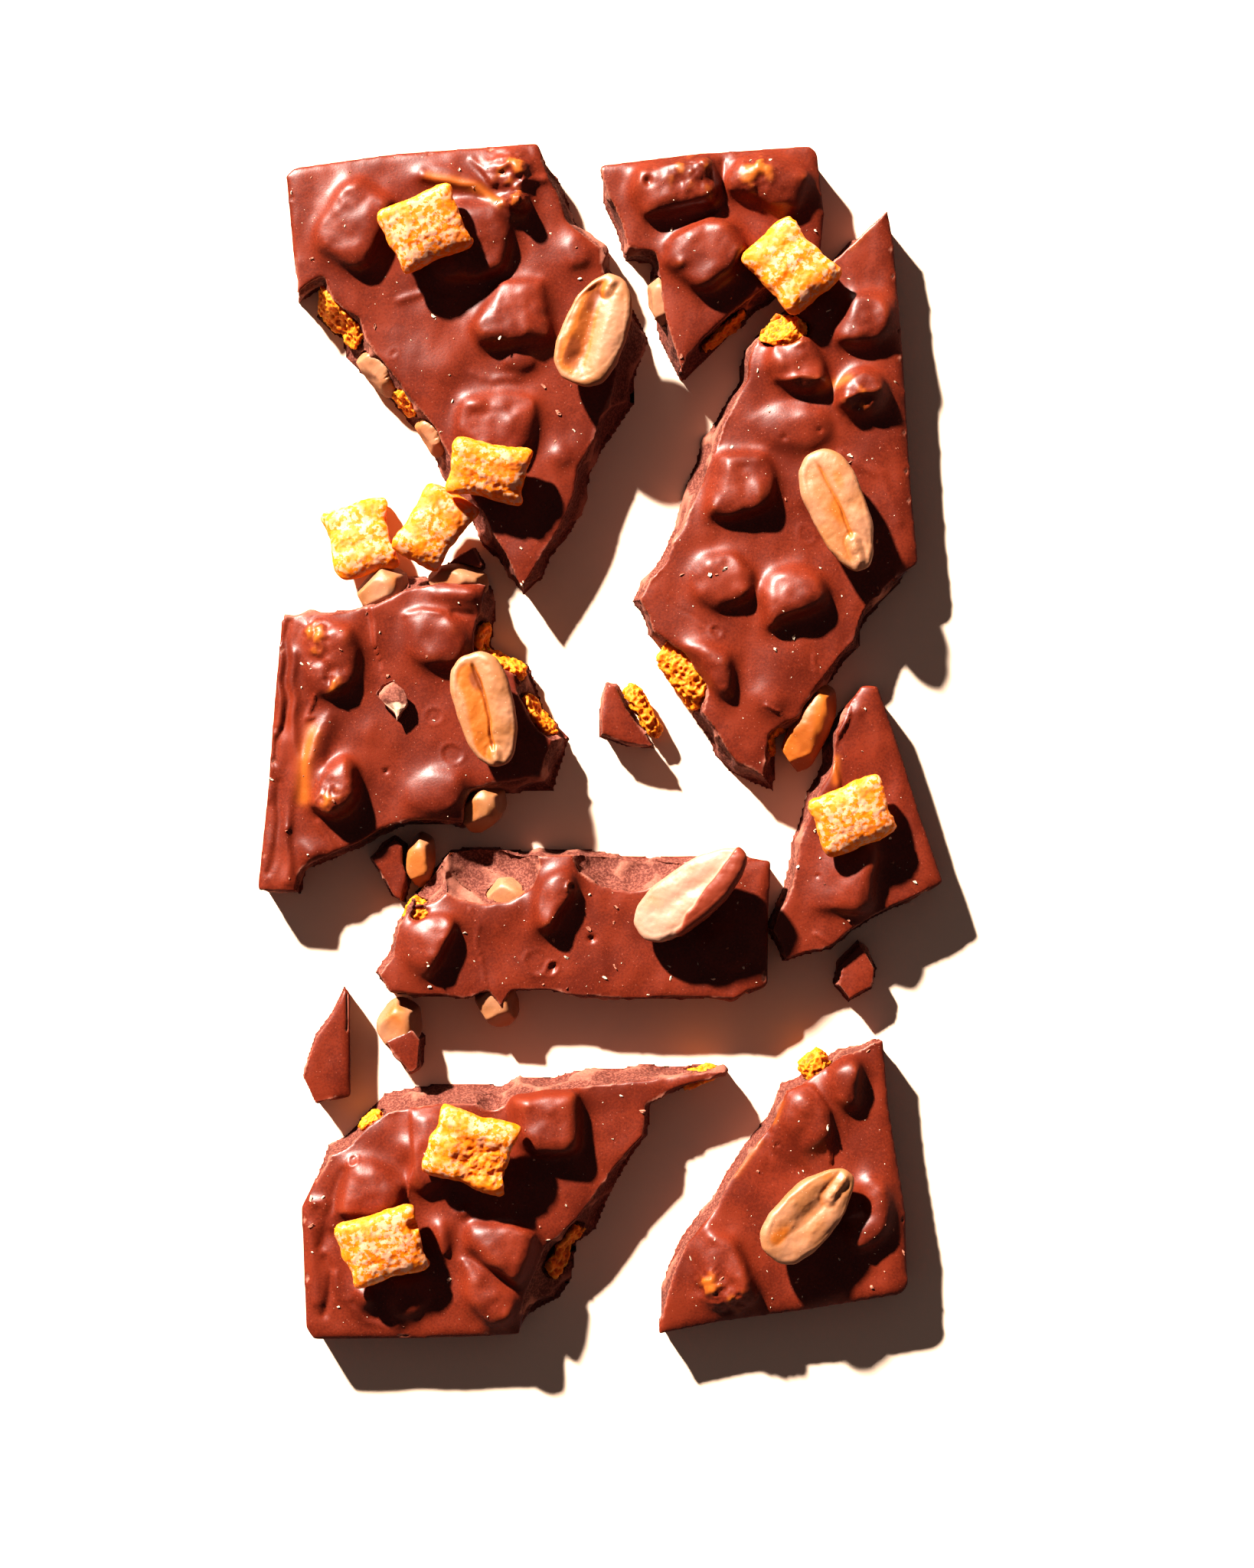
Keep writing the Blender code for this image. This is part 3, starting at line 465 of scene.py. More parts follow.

# %% [markdown]
# ## Corn cereal
#
# Puffed corn is a light foam. Sunlight goes in and comes out yellow again, so even its shaded sides glow,
# which calls for strong subsurface scattering. The `crest` number on each mesh tells what stands out and
# what lies deep: a darker amber is painted in the hollows as shade, yellow on the crests, and sugar in
# patches on top. Where a break cut the foam open there is less sugar and the hollows are painted darker
# still, so the same tree is made twice, with other colours.

# %% Corn cereal
def cereal_finish(name, amber, yellow, frost, frost_share):
    """Amber painted as shade in the hollows, yellow on what stands out, and patches of sugar on top."""
    material, tree, shader = new_material(name)
    parts = grain(tree, 0.0009, 0.0006, 0.3)
    body = mix_colour(tree, remap(tree, attribute(tree, "crest"), -0.22, 0.10), amber, yellow)
    sugar = calculate(tree, "MULTIPLY", remap(tree, parts["Grain"], 0.45, 0.54), attribute(tree, "sugar"))
    frosted = mix_colour(tree, calculate(tree, "MULTIPLY", sugar, frost_share), body, frost)
    feed(tree, shader.inputs["Base Color"], frosted)
    settle(shader, {"Roughness": 0.6, "Specular IOR Level": 0.25, "Subsurface Weight": 0.5,
                    "Subsurface Radius": (1.0, 0.42, 0.05), "Subsurface Scale": 0.0013})
    bump(tree, shader, parts["Grain"], 0.35, 0.00022)
    return material


finishes["cereal"] = cereal_finish("frosted_corn", (0.66, 0.112, 0.0004), (0.72, 0.185, 0.0015),
                                   (0.66, 0.335, 0.20), 0.95)
finishes["honeycomb"] = cereal_finish("broken_corn", (0.44, 0.075, 0.001), (0.66, 0.175, 0.003),
                                      (0.68, 0.29, 0.03), 0.5)
print("cereal finishes", finishes["cereal"].name, finishes["honeycomb"].name)

# %% [markdown]
# ## Roasted peanut
#
# A roasted kernel is cream to tan, and amber or brown where the heat reached deeper. The same amber and
# brown are also painted as shade in the hollow, the slit and the dip round the germ of a half. The
# `toast` number on its mesh says where. One half was dipped in chocolate, which `coated` marks,
# and its flesh is paler, so this tree too is made twice.

# %% Roasted peanut
# Toast, and painted shade in the hollows of the halves
AMBER_TOAST_AND_SHADE = (0.40, 0.105, 0.010)
BROWN_TOAST_AND_SHADE = (0.19, 0.040, 0.006)
NUT_DUST = (0.62, 0.40, 0.25)
DIPPED = (0.20, 0.030, 0.010)


def nut_finish(name, deep, pale):
    """Cream flesh, amber and brown where it was toasted and where shade is painted in its hollows."""
    material, tree, shader = new_material(name)
    parts = grain(tree, 0.0005, 0.0009, 0.1)
    toast = attribute(tree, "toast")
    flesh = mix_colour(tree, remap(tree, parts["Mottle"], 0.3, 0.7), deep, pale)
    amber = mix_colour(tree, remap(tree, toast, 0.15, 0.6), flesh, AMBER_TOAST_AND_SHADE)
    brown = mix_colour(tree, remap(tree, toast, 0.65, 1.0), amber, BROWN_TOAST_AND_SHADE)
    dusty = mix_colour(tree, calculate(tree, "MULTIPLY", parts["Specks"], 0.35), brown, NUT_DUST)
    coated = attribute(tree, "coated")
    feed(tree, shader.inputs["Base Color"], mix_colour(tree, coated, dusty, DIPPED))
    settle(shader, {"Roughness": 0.48, "Subsurface Weight": 0.15,
                    "Subsurface Radius": (1.0, 0.45, 0.2), "Subsurface Scale": 0.0012})
    bump(tree, shader, parts["Grain"], 0.25, 0.0001)
    return material


finishes["nut"] = nut_finish("roasted_peanut_flesh", (0.32, 0.122, 0.042), (0.38, 0.168, 0.088))
finishes["pale_nut"] = nut_finish("pale_peanut_flesh", (0.36, 0.172, 0.102), (0.42, 0.225, 0.155))
print("finishes", list(finishes))

# %% [markdown]
# ## Marks on the chocolate
#
# A spatula, a bubble or a scratch left small marks on the skin while it set. Noise could fill the top with
# such marks, but they would lie anywhere. They are listed by place instead, in millimetres from the bar's
# middle, so that each is laid where it sits on the real bar. A name that ends in `_break` holds the edges
# and steps of that shard's broken side.

# %% Ridges
def count_marks(title, table):
    print(title, sum(len(rows) for rows in table.values()))


# Height, width, and the line along which the chocolate is raised or sunk
RIDGES = {
    "shard_top_left": [
        (0.30, 0.5, (-19.3, 87.2), (-17.4, 85.4), (-15.8, 83.4)),
        (0.45, 0.6, (-12.6, 82.8), (-11.0, 84.3), (-8.6, 84.3)),
        (0.22, 0.7, (-19.0, 55.2), (-16.4, 54.2), (-13.0, 54.6)),
        (0.25, 0.6, (-30.0, 66.0), (-26.4, 67.6), (-23.0, 66.4)),
        (0.45, 0.7, (-26.4, 85.0), (-22.6, 84.4), (-18.6, 83.2), (-15.4, 80.8)),
    ],
    "shard_top_middle": [
        (0.35, 0.6, (9.9, 74.6), (13.6, 77.2), (17.9, 78.9)),
        (-0.35, 0.5, (18.2, 87.2), (18.3, 83.8), (18.4, 80.6)),
    ],
    "shard_right": [
        (0.50, 0.7, (35.9, 50.6), (38.8, 52.2), (42.0, 52.8)),
        (0.40, 0.6, (26.4, 54.6), (29.4, 54.2), (32.6, 54.6)),
        (0.28, 0.25, (24.7, 5.2), (26.6, 4.8), (27.8, 3.2)),
        (0.20, 0.25, (32.3, 12.7), (32.5, 10.3)),
        (-0.12, 0.2, (10.2, 21.0), (17.4, 17.1)),
        (0.25, 0.9, (36.0, 43.0), (42.0, 40.0), (45.0, 33.0)),
    ],
    "shard_left": [
        (0.45, 0.8, (-45.9, 13.0), (-46.3, 4.0), (-45.6, -1.0), (-46.3, -8.0), (-47.2, -14.0),
         (-46.6, -21.0)),
        (0.35, 0.6, (-48.2, 14.0), (-48.4, 5.0), (-49.4, -2.0), (-50.0, -9.0)),
        (-0.45, 0.6, (-47.0, 18.0), (-47.1, 6.0), (-48.0, 1.0), (-49.0, -3.0)),
        (-0.30, 0.5, (-48.0, -6.0), (-48.6, -13.0), (-49.6, -20.0)),
        (0.35, 0.3, (-43.0, 7.0), (-43.7, 4.6), (-43.9, 3.4), (-43.1, 3.5)),
        (0.30, 0.5, (-42.0, -12.4), (-40.8, -15.0), (-39.8, -17.0)),
        (0.25, 0.5, (-29.0, 19.4), (-26.6, 19.9), (-24.2, 19.2)),
        (-0.45, 0.7, (-21.8, 19.4), (-19.4, 19.2), (-18.6, 18.2)),
    ],
    "shard_centre": [
        (0.22, 0.16, (-19.3, -25.4), (-18.5, -27.6), (-18.5, -30.5), (-17.6, -34.0), (-16.8, -37.3)),
        (0.10, 0.3, (-10.8, -31.6), (-11.2, -33.4), (-10.2, -35.0), (-8.6, -35.0)),
    ],
    "shard_right_corner": [
        (0.25, 0.25, (37.3, 4.1), (36.2, 1.6), (35.5, -0.5)),
        (0.25, 0.25, (32.3, -29.0), (33.4, -29.5), (34.8, -30.5)),
    ],
    "shard_bottom_left": [
        (-0.45, 0.8, (-38.6, -64.6), (-40.0, -68.0), (-40.6, -72.0), (-41.6, -75.6)),
        (0.45, 0.9, (-43.0, -69.2), (-41.6, -69.0), (-40.4, -70.8), (-40.2, -72.6)),
        (-0.40, 0.6, (-41.2, -77.4), (-40.2, -79.4), (-40.8, -83.0), (-41.8, -86.4)),
        (0.35, 0.8, (-39.6, -80.0), (-38.6, -83.6), (-35.0, -86.4), (-30.6, -87.8)),
        (0.30, 0.9, (-43.4, -73.0), (-43.2, -79.0), (-42.6, -84.0)),
        (-0.35, 0.5, (-37.2, -84.2), (-35.2, -86.0), (-31.6, -87.4)),
    ],
    "shard_centre_break": [
        (0.45, 0.35, (-3.7, -16.9), (-2.6, -19.4), (-1.0, -20.8), (1.9, -22.4), (5.7, -23.6)),
        (0.40, 0.3, (-22.3, -22.7), (-17.9, -25.0), (-12.1, -25.8), (-10.2, -23.7), (-9.0, -20.8)),
        (0.35, 0.25, (-9.0, -20.8), (-9.6, -18.6), (-11.4, -17.4)),
        (0.30, 0.4, (-27.6, -23.4), (-24.6, -24.4), (-22.4, -23.4)),
        (-0.35, 0.4, (-2.4, -17.6), (-0.6, -19.4), (1.6, -20.4)),
        (0.25, 0.3, (-16.0, -17.6), (-13.4, -19.4), (-11.6, -21.6)),
    ],
    "shard_bottom_left_break": [
        (-0.70, 0.5, (-17.6, -52.4), (-16.4, -54.4), (-15.4, -56.0)),
        (0.40, 0.4, (-19.2, -52.8), (-18.0, -54.8), (-16.6, -56.4), (-14.4, -56.8)),
        (-0.40, 0.3, (-25.6, -52.2), (-24.2, -53.2), (-23.6, -54.4)),
        (0.30, 0.4, (-34.4, -55.0), (-31.0, -53.8), (-27.6, -53.4)),
    ],
    "shard_bottom_right": [
        (0.22, 0.2, (33.9, -60.6), (34.5, -61.8), (34.9, -63.0)),
        (-0.20, 0.8, (25.0, -61.0), (28.0, -63.4), (31.0, -65.0)),
    ],
}
count_marks("ridges", RIDGES)

# %% [markdown]
# A step is where the skin slid or broke, so that it stands high on one side of a line and slopes off again.
# A bump is a crumb under the skin, and a pit a bubble that stayed open.

# %% Steps and bumps
# Height, how fast the raised side falls off, and the line, with the raised side on its left
STEPS = {
    "shard_left": [(0.7, 3.2, (-34.4, 21.0), (-34.2, 17.5), (-33.6, 14.4))],
    "shard_right_corner": [(0.5, 2.6, (35.7, -6.3), (35.3, -2.8), (35.4, -0.5), (36.9, 3.4))],
    "shard_centre_break": [(1.1, 1.4, (-17.9, -23.2), (-20.6, -21.0), (-23.7, -18.6)),
                           (0.8, 1.2, (-12.0, -24.0), (-13.6, -21.4), (-16.6, -19.2))],
    "shard_bottom_left": [(0.5, 2.0, (-28.4, -56.0), (-28.2, -61.0), (-28.6, -66.0))],
    "shard_bottom_right": [(0.45, 2.6, (34.9, -62.2), (34.4, -55.6), (31.9, -51.7), (29.1, -51.1),
                            (26.3, -53.9), (25.9, -58.3))],
}
# x, y, height and radius
BUMPS = {
    "shard_top_left": [(-14.8, 85.2, -0.8, 0.7), (-13.8, 88.2, 0.5, 1.0), (-19.3, 50.8, 0.4, 1.3),
                       (-13.2, 48.1, 0.5, 1.5), (-24.0, 56.0, 0.5, 4.0), (-26.0, 64.0, 0.4, 3.0)],
    "shard_top_middle": [(11.6, 71.4, 0.5, 0.9), (31.2, 83.8, 0.5, 0.8), (7.2, 83.6, -0.6, 0.7),
                         (22.3, 86.2, -0.7, 0.8), (16.0, 86.8, 0.6, 1.2)],
    "shard_right": [(38.5, 50.4, -0.9, 1.3), (27.2, 45.6, -0.35, 0.4), (33.0, 46.7, -0.3, 0.4),
                    (31.0, 38.0, 0.4, 3.5), (40.5, 45.5, 0.3, 2.6), (28.0, 13.0, 0.6, 4.0)],
    "shard_left": [(-32.2, -4.2, -0.5, 0.35), (-43.2, -16.8, 0.8, 1.7), (-25.1, 12.4, 0.5, 1.6),
                   (-22.4, 17.2, 0.5, 1.6), (-34.6, 1.4, 0.25, 1.6), (-47.0, -13.2, 0.3, 0.6)],
    "shard_centre": [(-1.0, -29.8, -0.9, 0.42), (-7.0, -34.0, -0.6, 0.4), (5.4, -33.6, 0.2, 3.0)],
    "shard_right_corner": [(32.4, -20.2, -0.3, 0.25), (38.4, 4.6, 0.2, 0.8)],
    "shard_bottom_left": [(-29.6, -61.0, 0.7, 1.6), (-20.4, -70.6, 0.9, 1.1), (-33.0, -58.6, 0.3, 2.4)],
    "shard_bottom_left_break": [(-29.6, -54.6, -0.6, 0.45), (-28.2, -54.0, -0.4, 0.35),
                                (-22.0, -53.4, 0.4, 0.8)],
    "shard_bottom_right": [(15.8, -73.0, 0.8, 1.8), (26.6, -60.4, -0.3, 0.3), (34.2, -49.8, -0.3, 0.3)],
}
count_marks("steps", STEPS)
count_marks("bumps", BUMPS)

# %% [markdown]
# A bubble that burst leaves a low ring. Where a cereal square breaks through, the skin is crumbly, and
# where it is very thin the nut below makes it amber. Some amber lines lie on ridges that face the lamp,
# where the amber is a painted glow of light. These are listed by place too, since they tell what lies
# under the skin.

# %% Bubbles, crumbly patches and thin skin
# x, y, radius, and height of the ring
RINGS = {
    "shard_top_left": [(-31.0, 58.0, 0.8, 0.06)],
    "shard_right": [(17.6, 16.8, 1.0, 0.10), (31.0, 31.0, 1.2, 0.06)],
    "shard_left": [(-22.1, -2.0, 1.6, 0.10), (-24.8, 4.0, 1.3, 0.07)],
    "shard_centre": [(-4.3, -21.4, 0.75, 0.35), (-9.4, -33.2, 1.7, 0.06), (-7.2, -34.2, 0.9, 0.14)],
    "shard_bottom_left": [(-37.0, -62.8, 0.8, 0.14)],
    "shard_bottom_right": [(26.6, -60.4, 0.45, 0.08)],
}
# x, y, radius and height of the crumbs
CRUMBLY = {
    "shard_top_left": [(-13.4, 85.4, 3.0, 0.45), (-12.8, 80.6, 1.8, 0.55)],
    "shard_top_middle": [(13.6, 85.0, 4.2, 0.30), (23.4, 85.4, 3.0, 0.40)],
    "shard_right": [(29.0, 60.6, 2.0, 0.35), (38.6, 51.0, 2.4, 0.30)],
    "shard_left": [(-42.6, 16.4, 2.0, 0.55), (-42.4, 13.0, 1.8, 0.45), (-40.2, 8.8, 1.8, 0.50),
                   (-40.6, -8.2, 2.4, 0.50)],
    "shard_bottom_right": [(16.6, -81.2, 2.4, 0.45), (20.0, -83.6, 2.4, 0.45)],
}
# Width and line of the amber: skin thin over a nut, and on some ridges a painted glow of light
AMBER = {
    "shard_top_left": [(0.7, (-25.8, 84.7), (-22.0, 84.0), (-18.2, 82.9), (-15.2, 80.6))],
    "shard_right": [(0.6, (37.6, 74.6), (41.4, 79.0)), (0.7, (33.0, 52.6), (37.0, 54.4))],
    "shard_left": [(1.0, (-43.2, 1.6), (-44.4, -3.0), (-44.6, -8.6))],
    "shard_right_corner": [(0.6, (35.3, -2.6), (35.3, -6.0))],
    "shard_bottom_right": [(0.5, (20.2, -65.0), (23.8, -60.0)), (0.5, (26.0, -57.0), (27.0, -54.0))],
}
count_marks("burst bubbles", RINGS)
count_marks("crumbly patches", CRUMBLY)
count_marks("amber lines", AMBER)

# %% [markdown]
# Each mark lifts or sinks the points near it, by a bell curve over the distance to its line or its middle.
# Summed up, they are one height for every point, so a single move lays all marks of a shard.

# %% Lay the marks
def distance_to_point(plan, x, y):
    return np.hypot(*(plan - (x, y)).T)


def distance_to_line(plan, points):
    """How far each point is from a line in plan, positive on its left and negative on its right."""
    nearest = np.full(len(plan), np.inf)
    for start, end in zip(points, points[1:]):
        start = np.array(start)
        along = np.array(end) - start
        length = np.hypot(*along)
        share = np.clip((plan - start) @ along / length ** 2, 0, 1)
        offset = plan - start - share[:, None] * along
        side = np.sign(along[0] * offset[:, 1] - along[1] * offset[:, 0])
        distance = np.hypot(*offset.T) * np.where(side < 0, -1, 1)
        nearest = np.where(np.abs(distance) < np.abs(nearest), distance, nearest)
    return nearest


def marks(plan, name):
    """How far all marks of one shard raise or sink each point of its top."""
    lift = np.zeros(len(plan))
    for height, width, *points in RIDGES.get(name, []):
        lift += height * bell(distance_to_line(plan, points), width)
    for height, reach, *points in STEPS.get(name, []):
        distance = distance_to_line(plan, points)
        lift += height * ease(distance, -0.35, 0.25) * np.exp(-np.abs(distance) / reach)
    for x, y, height, radius in BUMPS.get(name, []):
        lift += height * bell(distance_to_point(plan, x, y), radius)
    for x, y, radius, height in RINGS.get(name, []):
        rim = distance_to_point(plan, x, y) - radius
        lift += height * bell(rim, 0.2) - height * ease(-rim, 0.1, 0.5)
    return lift


print("a ridge is", marks(np.array([[24.7, 5.2]]), "shard_right").round(2), "mm high at its start")

# %% [markdown]
# ## Which sides were cast, and which were snapped
#
# The bar's outer sides were cast in a mould, so they lean in a little towards the table and are smooth. The
# broken sides are upright or lean any way. The lean of the solid's nearest face tells them apart. What is
# close to a cast side counts as cast, so that no crumb shows at its corners. Painting the sides by hand
# would do too, but would have to be done again after each change of the solids.

# %% Sort the sides
UNDERSIDE = 0.12       # height up to which a point belongs to the underside
TOP_EDGE = 0.15        # how far below the top the sides begin
CAST_LEAN = (-0.30, -0.03)     # how far a cast side's normal points down


def side_masks(clay, name, top):
    """1 where the chocolate was snapped, and 1 where it was cast; 0 on the top and the underside."""
    bm = merged(name)
    tree = BVHTree.FromBMesh(bm)
    bm.free()
    rise = np.array([tree.find_nearest(Vector(point))[1].z for point in clay.co])
    height = clay.co[:, 2]
    side = (height < top - TOP_EDGE) & (height > UNDERSIDE)
    cast = (side & (rise > CAST_LEAN[0]) & (rise < CAST_LEAN[1])).astype(float)
    snapped = side & (clay.spread(cast, 4) < 0.02)
    return snapped.astype(float), cast


print("sides lie above", UNDERSIDE, "mm")

# %% [markdown]
# ## The poured top
#
# Chocolate that was poured over nuts hangs on them like a wet cloth: it fills every corner at the foot of a
# lump and rounds the lump's edges only a little. A cloth simulation could do that, but is slow and hard to
# steer. `relax` does it with one share for hollows and a smaller one for crests, after the outlines of the
# lumps were made a little uneven. Then come slow waves, the marks, small dents on the lumps, and rough
# patches where cereal breaks through.

# %% Pour
DRAPE_TURNS = 44
FILLING = 0.9          # how far a hollow fills in a turn
SOFT = 0.42            # how far a crest gives way in a turn
SOFTEST = {"shard_right": 0.75, "shard_centre": 0.6, "shard_bottom_right": 0.6}
# Waves of the skin and dents on its lumps: height, width and shift
WAVES = ((0.34, 8, 2), (0.13, 3.1, 5), (0.02, 1.2, 8))
DENTS = ((0.28, 2.7, 6), (0.09, 1.2, 16))
STROKES = 0.07         # height of the long marks that the spatula left


def ripples(co, rows):
    """Several ripples on top of each other."""
    return sum(height * ripple(co, size, shift) for height, size, shift in rows)


def pour(clay, name, top, poured, cast):
    """Drape the top over its lumps, and lay the marks on it."""
    high = ease(clay.co[:, 2], top - 0.6, top + 0.4)
    flat = clay.co * (1, 1, 0.3)
    inner = poured * (1 - cast)
    uneven = 0.5 * sway(flat, 4.5, (0, 7)) + 0.25 * sway(flat, 1.9, (3, 11))
    clay.co[:, :2] += (inner * high)[:, None] * uneven
    held = poured * (1 - 0.85 * cast)
    clay.relax(FILLING * held, SOFTEST.get(name, SOFT) * held, DRAPE_TURNS)
    skin = poured * ease(clay.co[:, 2], top - 1.2, top - 0.3)
    raised = skin * ease(clay.co[:, 2], top + 0.8, top + 2.2)
    plan = clay.co[:, :2]
    bent = plan + 0.5 * sway(flat, 3.0, (4, 14))
    wave = ripples(flat, WAVES) + STROKES * ripple(flat * (1, 0.35, 1), 1.6, 21)
    clay.co[:, 2] += skin * (wave + marks(bent, name)) + raised * ripples(flat, DENTS)
    thin = np.zeros(clay.count)
    for x, y, radius, height in CRUMBLY.get(name, []):
        patch = skin * bell(distance_to_point(plan, x, y), radius)
        rough = crag(clay.co, 1.5, 4)
        clay.push(patch * height * 1.6 * rough)
        thin = np.maximum(thin, ease(patch * (0.6 + rough), 0.35, 0.95))
    # Amber along the listed lines and faintly on the crests of lumps: thin skin, and a painted glow of light
    for width, *points in AMBER.get(name, []):
        thin = np.maximum(thin, 0.8 * skin * bell(distance_to_line(plan, points), width))
    return np.maximum(thin, 0.16 * raised * ease(clay.crest(16), 0.10, 0.5))


print("softest tops:", list(SOFTEST))

# %% [markdown]
# ## The broken sides
#
# Chocolate breaks like glass does, but coarser: in shallow shell-shaped hollows that meet in sharp rims.
# The distance to the nearest of many scattered middles has just that form, so it is pressed into the broken
# sides in two sizes. A break that slopes and faces up also gets its listed ridges and steps. The rims of the
# large hollows and the ridges are painted pale, as a painted highlight where they catch the lamp.

# %% Snap
LARGE_SHELL = 4.6      # width of the large hollows
LARGE_RIM = 1.2        # how far their rims stand out of their middles
SMALL_SHELL = 1.7
SMALL_RIM = 0.2
SET_BACK = 0.85        # so that the rims end up about where the solid's side was


def snap(clay, name, broken_share):
    """Hollow the broken sides like shells, make them crumbly, and return where their rims get a painted
    highlight.
    """
    where = broken_share > 0.05
    open_up = broken_share * ease(clay.normals()[:, 2], 0.2, 0.5)
    drawn = open_up * marks(clay.co[:, :2], f"{name}_break")
    clay.co[:, 2] += drawn
    bent = clay.co + 0.5 * sway(clay.co, 2.2, (3, 8, 13))
    large = shells(bent, LARGE_SHELL, where)
    small = shells(bent + 40, SMALL_SHELL, where) ** 2
    hollows = LARGE_RIM * large ** 2 - SET_BACK + SMALL_RIM * small
    clay.push(broken_share * (hollows + 0.14 * crag(clay.co, 2.1)))
    jagged = broken_share * ease(clay.co[:, 2], SLAB - 1.2, SLAB - 0.3)
    clay.co[:, :2] += 0.22 * jagged[:, None] * sway(clay.co, 1.1, (2, 12), crag)
    # Pale on the rims of the large hollows and on the drawn ridges: a painted highlight
    return np.maximum(broken_share * ease(large, 0.66, 0.80), ease(drawn, 0.15, 0.5))


print("shells are", LARGE_SHELL, "and", SMALL_SHELL, "mm wide")

# %% [markdown]
# ## The eight shards
#
# A shard is netted, its sides are sorted, its top is poured and its broken sides are snapped. What the
# material has to know is noted on the mesh: where it is snapped, where the skin is amber (thin over a nut,
# and a painted glow of light on crests), and where the rim of the break is pale (crushed, and a painted
# highlight on edges that catch the lamp).

# %% Pour and snap the shards
NET_SHARD = 0.34       # width of the squares of the net


def chocolate_piece(name, net, top):
    clay = Clay(netted(merged(name), net))
    start = clay.co.copy()
    snapped, cast = side_masks(clay, name, top)
    near_break = clay.spread(snapped, 4)
    poured = np.clip(1 - 2.2 * near_break, 0, 1) * np.clip(clay.co[:, 2] / 2, 0, 1)
    thin = pour(clay, name, top, poured, np.clip(2.5 * clay.spread(cast, 4), 0, 1))
    edges = snap(clay, name, clay.spread(snapped, 1))
    clay.rest()
    border = clay.spread(snapped, 1)
    upper = ease(clay.co[:, 2], top - 1.6, top - 0.6)
    clay.note("snapped", np.clip(1.5 * border, 0, 1))
    # The rim of the break is pale: crushed chocolate, and a painted highlight along the edge that catches
    # the lamp
    worn = ease(ripple(clay.co, 2.2, 6), -0.9, 0.6)
    clay.note("rim", np.maximum(4 * border * (1 - border) * upper * worn, 0.5 * edges))
    clay.note("thin", thin)
    finish_piece(clay.mesh_now(), f"{name}_poured", "chocolate", (name,))
    print(name, clay.count, "points, moved up to", round(float(np.abs(clay.co - start).max()), 2), "mm")


SHARDS = ["top_left", "top_middle", "right", "left", "centre", "right_corner", "bottom_left", "bottom_right"]
for place in SHARDS:
    chocolate_piece(f"shard_{place}", NET_SHARD, SLAB)

# %% [markdown]
# ## The chips
#
# The chips are smaller bits of the same slab. A shard scaled down would have too smooth a break, so they are
# worked with the same tools at their real size, on a finer net. Each has its own height, where its poured
# skin starts.

# %% Break the chips
NET_CHIP = 0.24
CHIP_TOPS = {"left_sliver": 5.0, "middle": 5.4, "under_left": 4.6, "nut_cap": 6.4, "right": 4.4,
             "upper_left": 4.8}
for place, top in CHIP_TOPS.items():
    chocolate_piece(f"chip_{place}", NET_CHIP, top)

# %% [markdown]
# One splinter lies on the left shard, broken face up, with a streak of pale sugar cream at its tip. Its
# solid is a plain rounded block. Cutting it with a second solid would leave knife edges, so its net is
# drawn in to a jagged wedge instead, tilted towards the light.

# %% Splinter
NET_SPLINTER = 0.14


def splinter():
    clay = Clay(netted(merged("chip_on_left"), NET_SPLINTER))
    low = clay.co.min(axis=0)
    size = clay.co.max(axis=0) - low
    middle = low + size / 2
    plan = (clay.co - middle)[:, :2] / (size[:2] / 2)
    down = ease(-plan[:, 1], -0.2, 1.0)
    clay.co[:, 0] += down * (middle[0] + 0.6 - clay.co[:, 0]) * 0.75
    clay.co[:, 1] -= 0.7 * down
    clay.co[:, :2] += 0.25 * sway(clay.co, 1.3, (1, 8))
    upper = ease(clay.co[:, 2], middle[2], middle[2] + 0.6)
    clay.co[:, 2] -= upper * (0.5 - 0.3 * plan[:, 0] + 0.2 * plan[:, 1])
    clay.push(0.10 * crag(clay.co, 0.9, 6))
    clay.co[:, 2] = np.maximum(clay.co[:, 2], low[2])
    clay.note("snapped", ease(clay.co[:, 2], low[2] + 0.4, low[2] + 0.9))
    border = ease(np.hypot(*plan.T), 0.55, 0.9)
    # A pale rim: crushed chocolate, and a painted highlight along the edge
    clay.note("rim", upper * (0.15 + 0.6 * border))
    clay.note("cream", upper * ease(down + 0.15 * ripple(clay.co, 0.8, 3), 0.20, 0.28))
    finish_piece(clay.mesh_now(), "chip_on_left_splinter", "chocolate", ("chip_on_left",))
    print("splinter", size.round(1), "mm before it was cut back")


splinter()

# %% [markdown]
# ## What shows in the broken sides
#
# A puffed cereal square is a foam of corn starch. Where the break ran through it, its bubbles lie open. Real
# holes would need a finer net than they are worth, so rounded pits are pressed in side by side, in two
# sizes. The piece is first swelled by the width of the gap round its solid, so that it meets the chocolate
# that once held it.

# %% Open honeycomb
GAP = 0.3              # clearance between neighbouring solids
NET_FOAM = 0.17
LARGE_BUBBLE = 0.95    # width and depth of the bubbles of either size
LARGE_DEPTH = 0.55
SMALL_BUBBLE = 0.5
SMALL_DEPTH = 0.22
OPEN_SHARE = 0.62      # how much of the way to its neighbour a bubble is open
TORN_FLUSH = "shard_right_cereal_1"    # this square broke flat, in line with the chocolate


def shown_in_breaks(kind):
    """The names of the nuts or the cereal squares that the shards and chips hold."""
    held = [name for name in sorted(nodes) if name.startswith(("shard_", "chip_")) and kind in name]
    return [name for name in held if name != "chip_nut_cap"]


def cut_flat(clay, direction, share):
    """Press back what stands out furthest in one direction, as a flat break does."""
    away = np.array(direction) / math.hypot(*direction)
    reach = (clay.co - clay.co.mean(axis=0)) @ away
    clay.co -= np.maximum(reach - share * reach.max(), 0)[:, None] * away


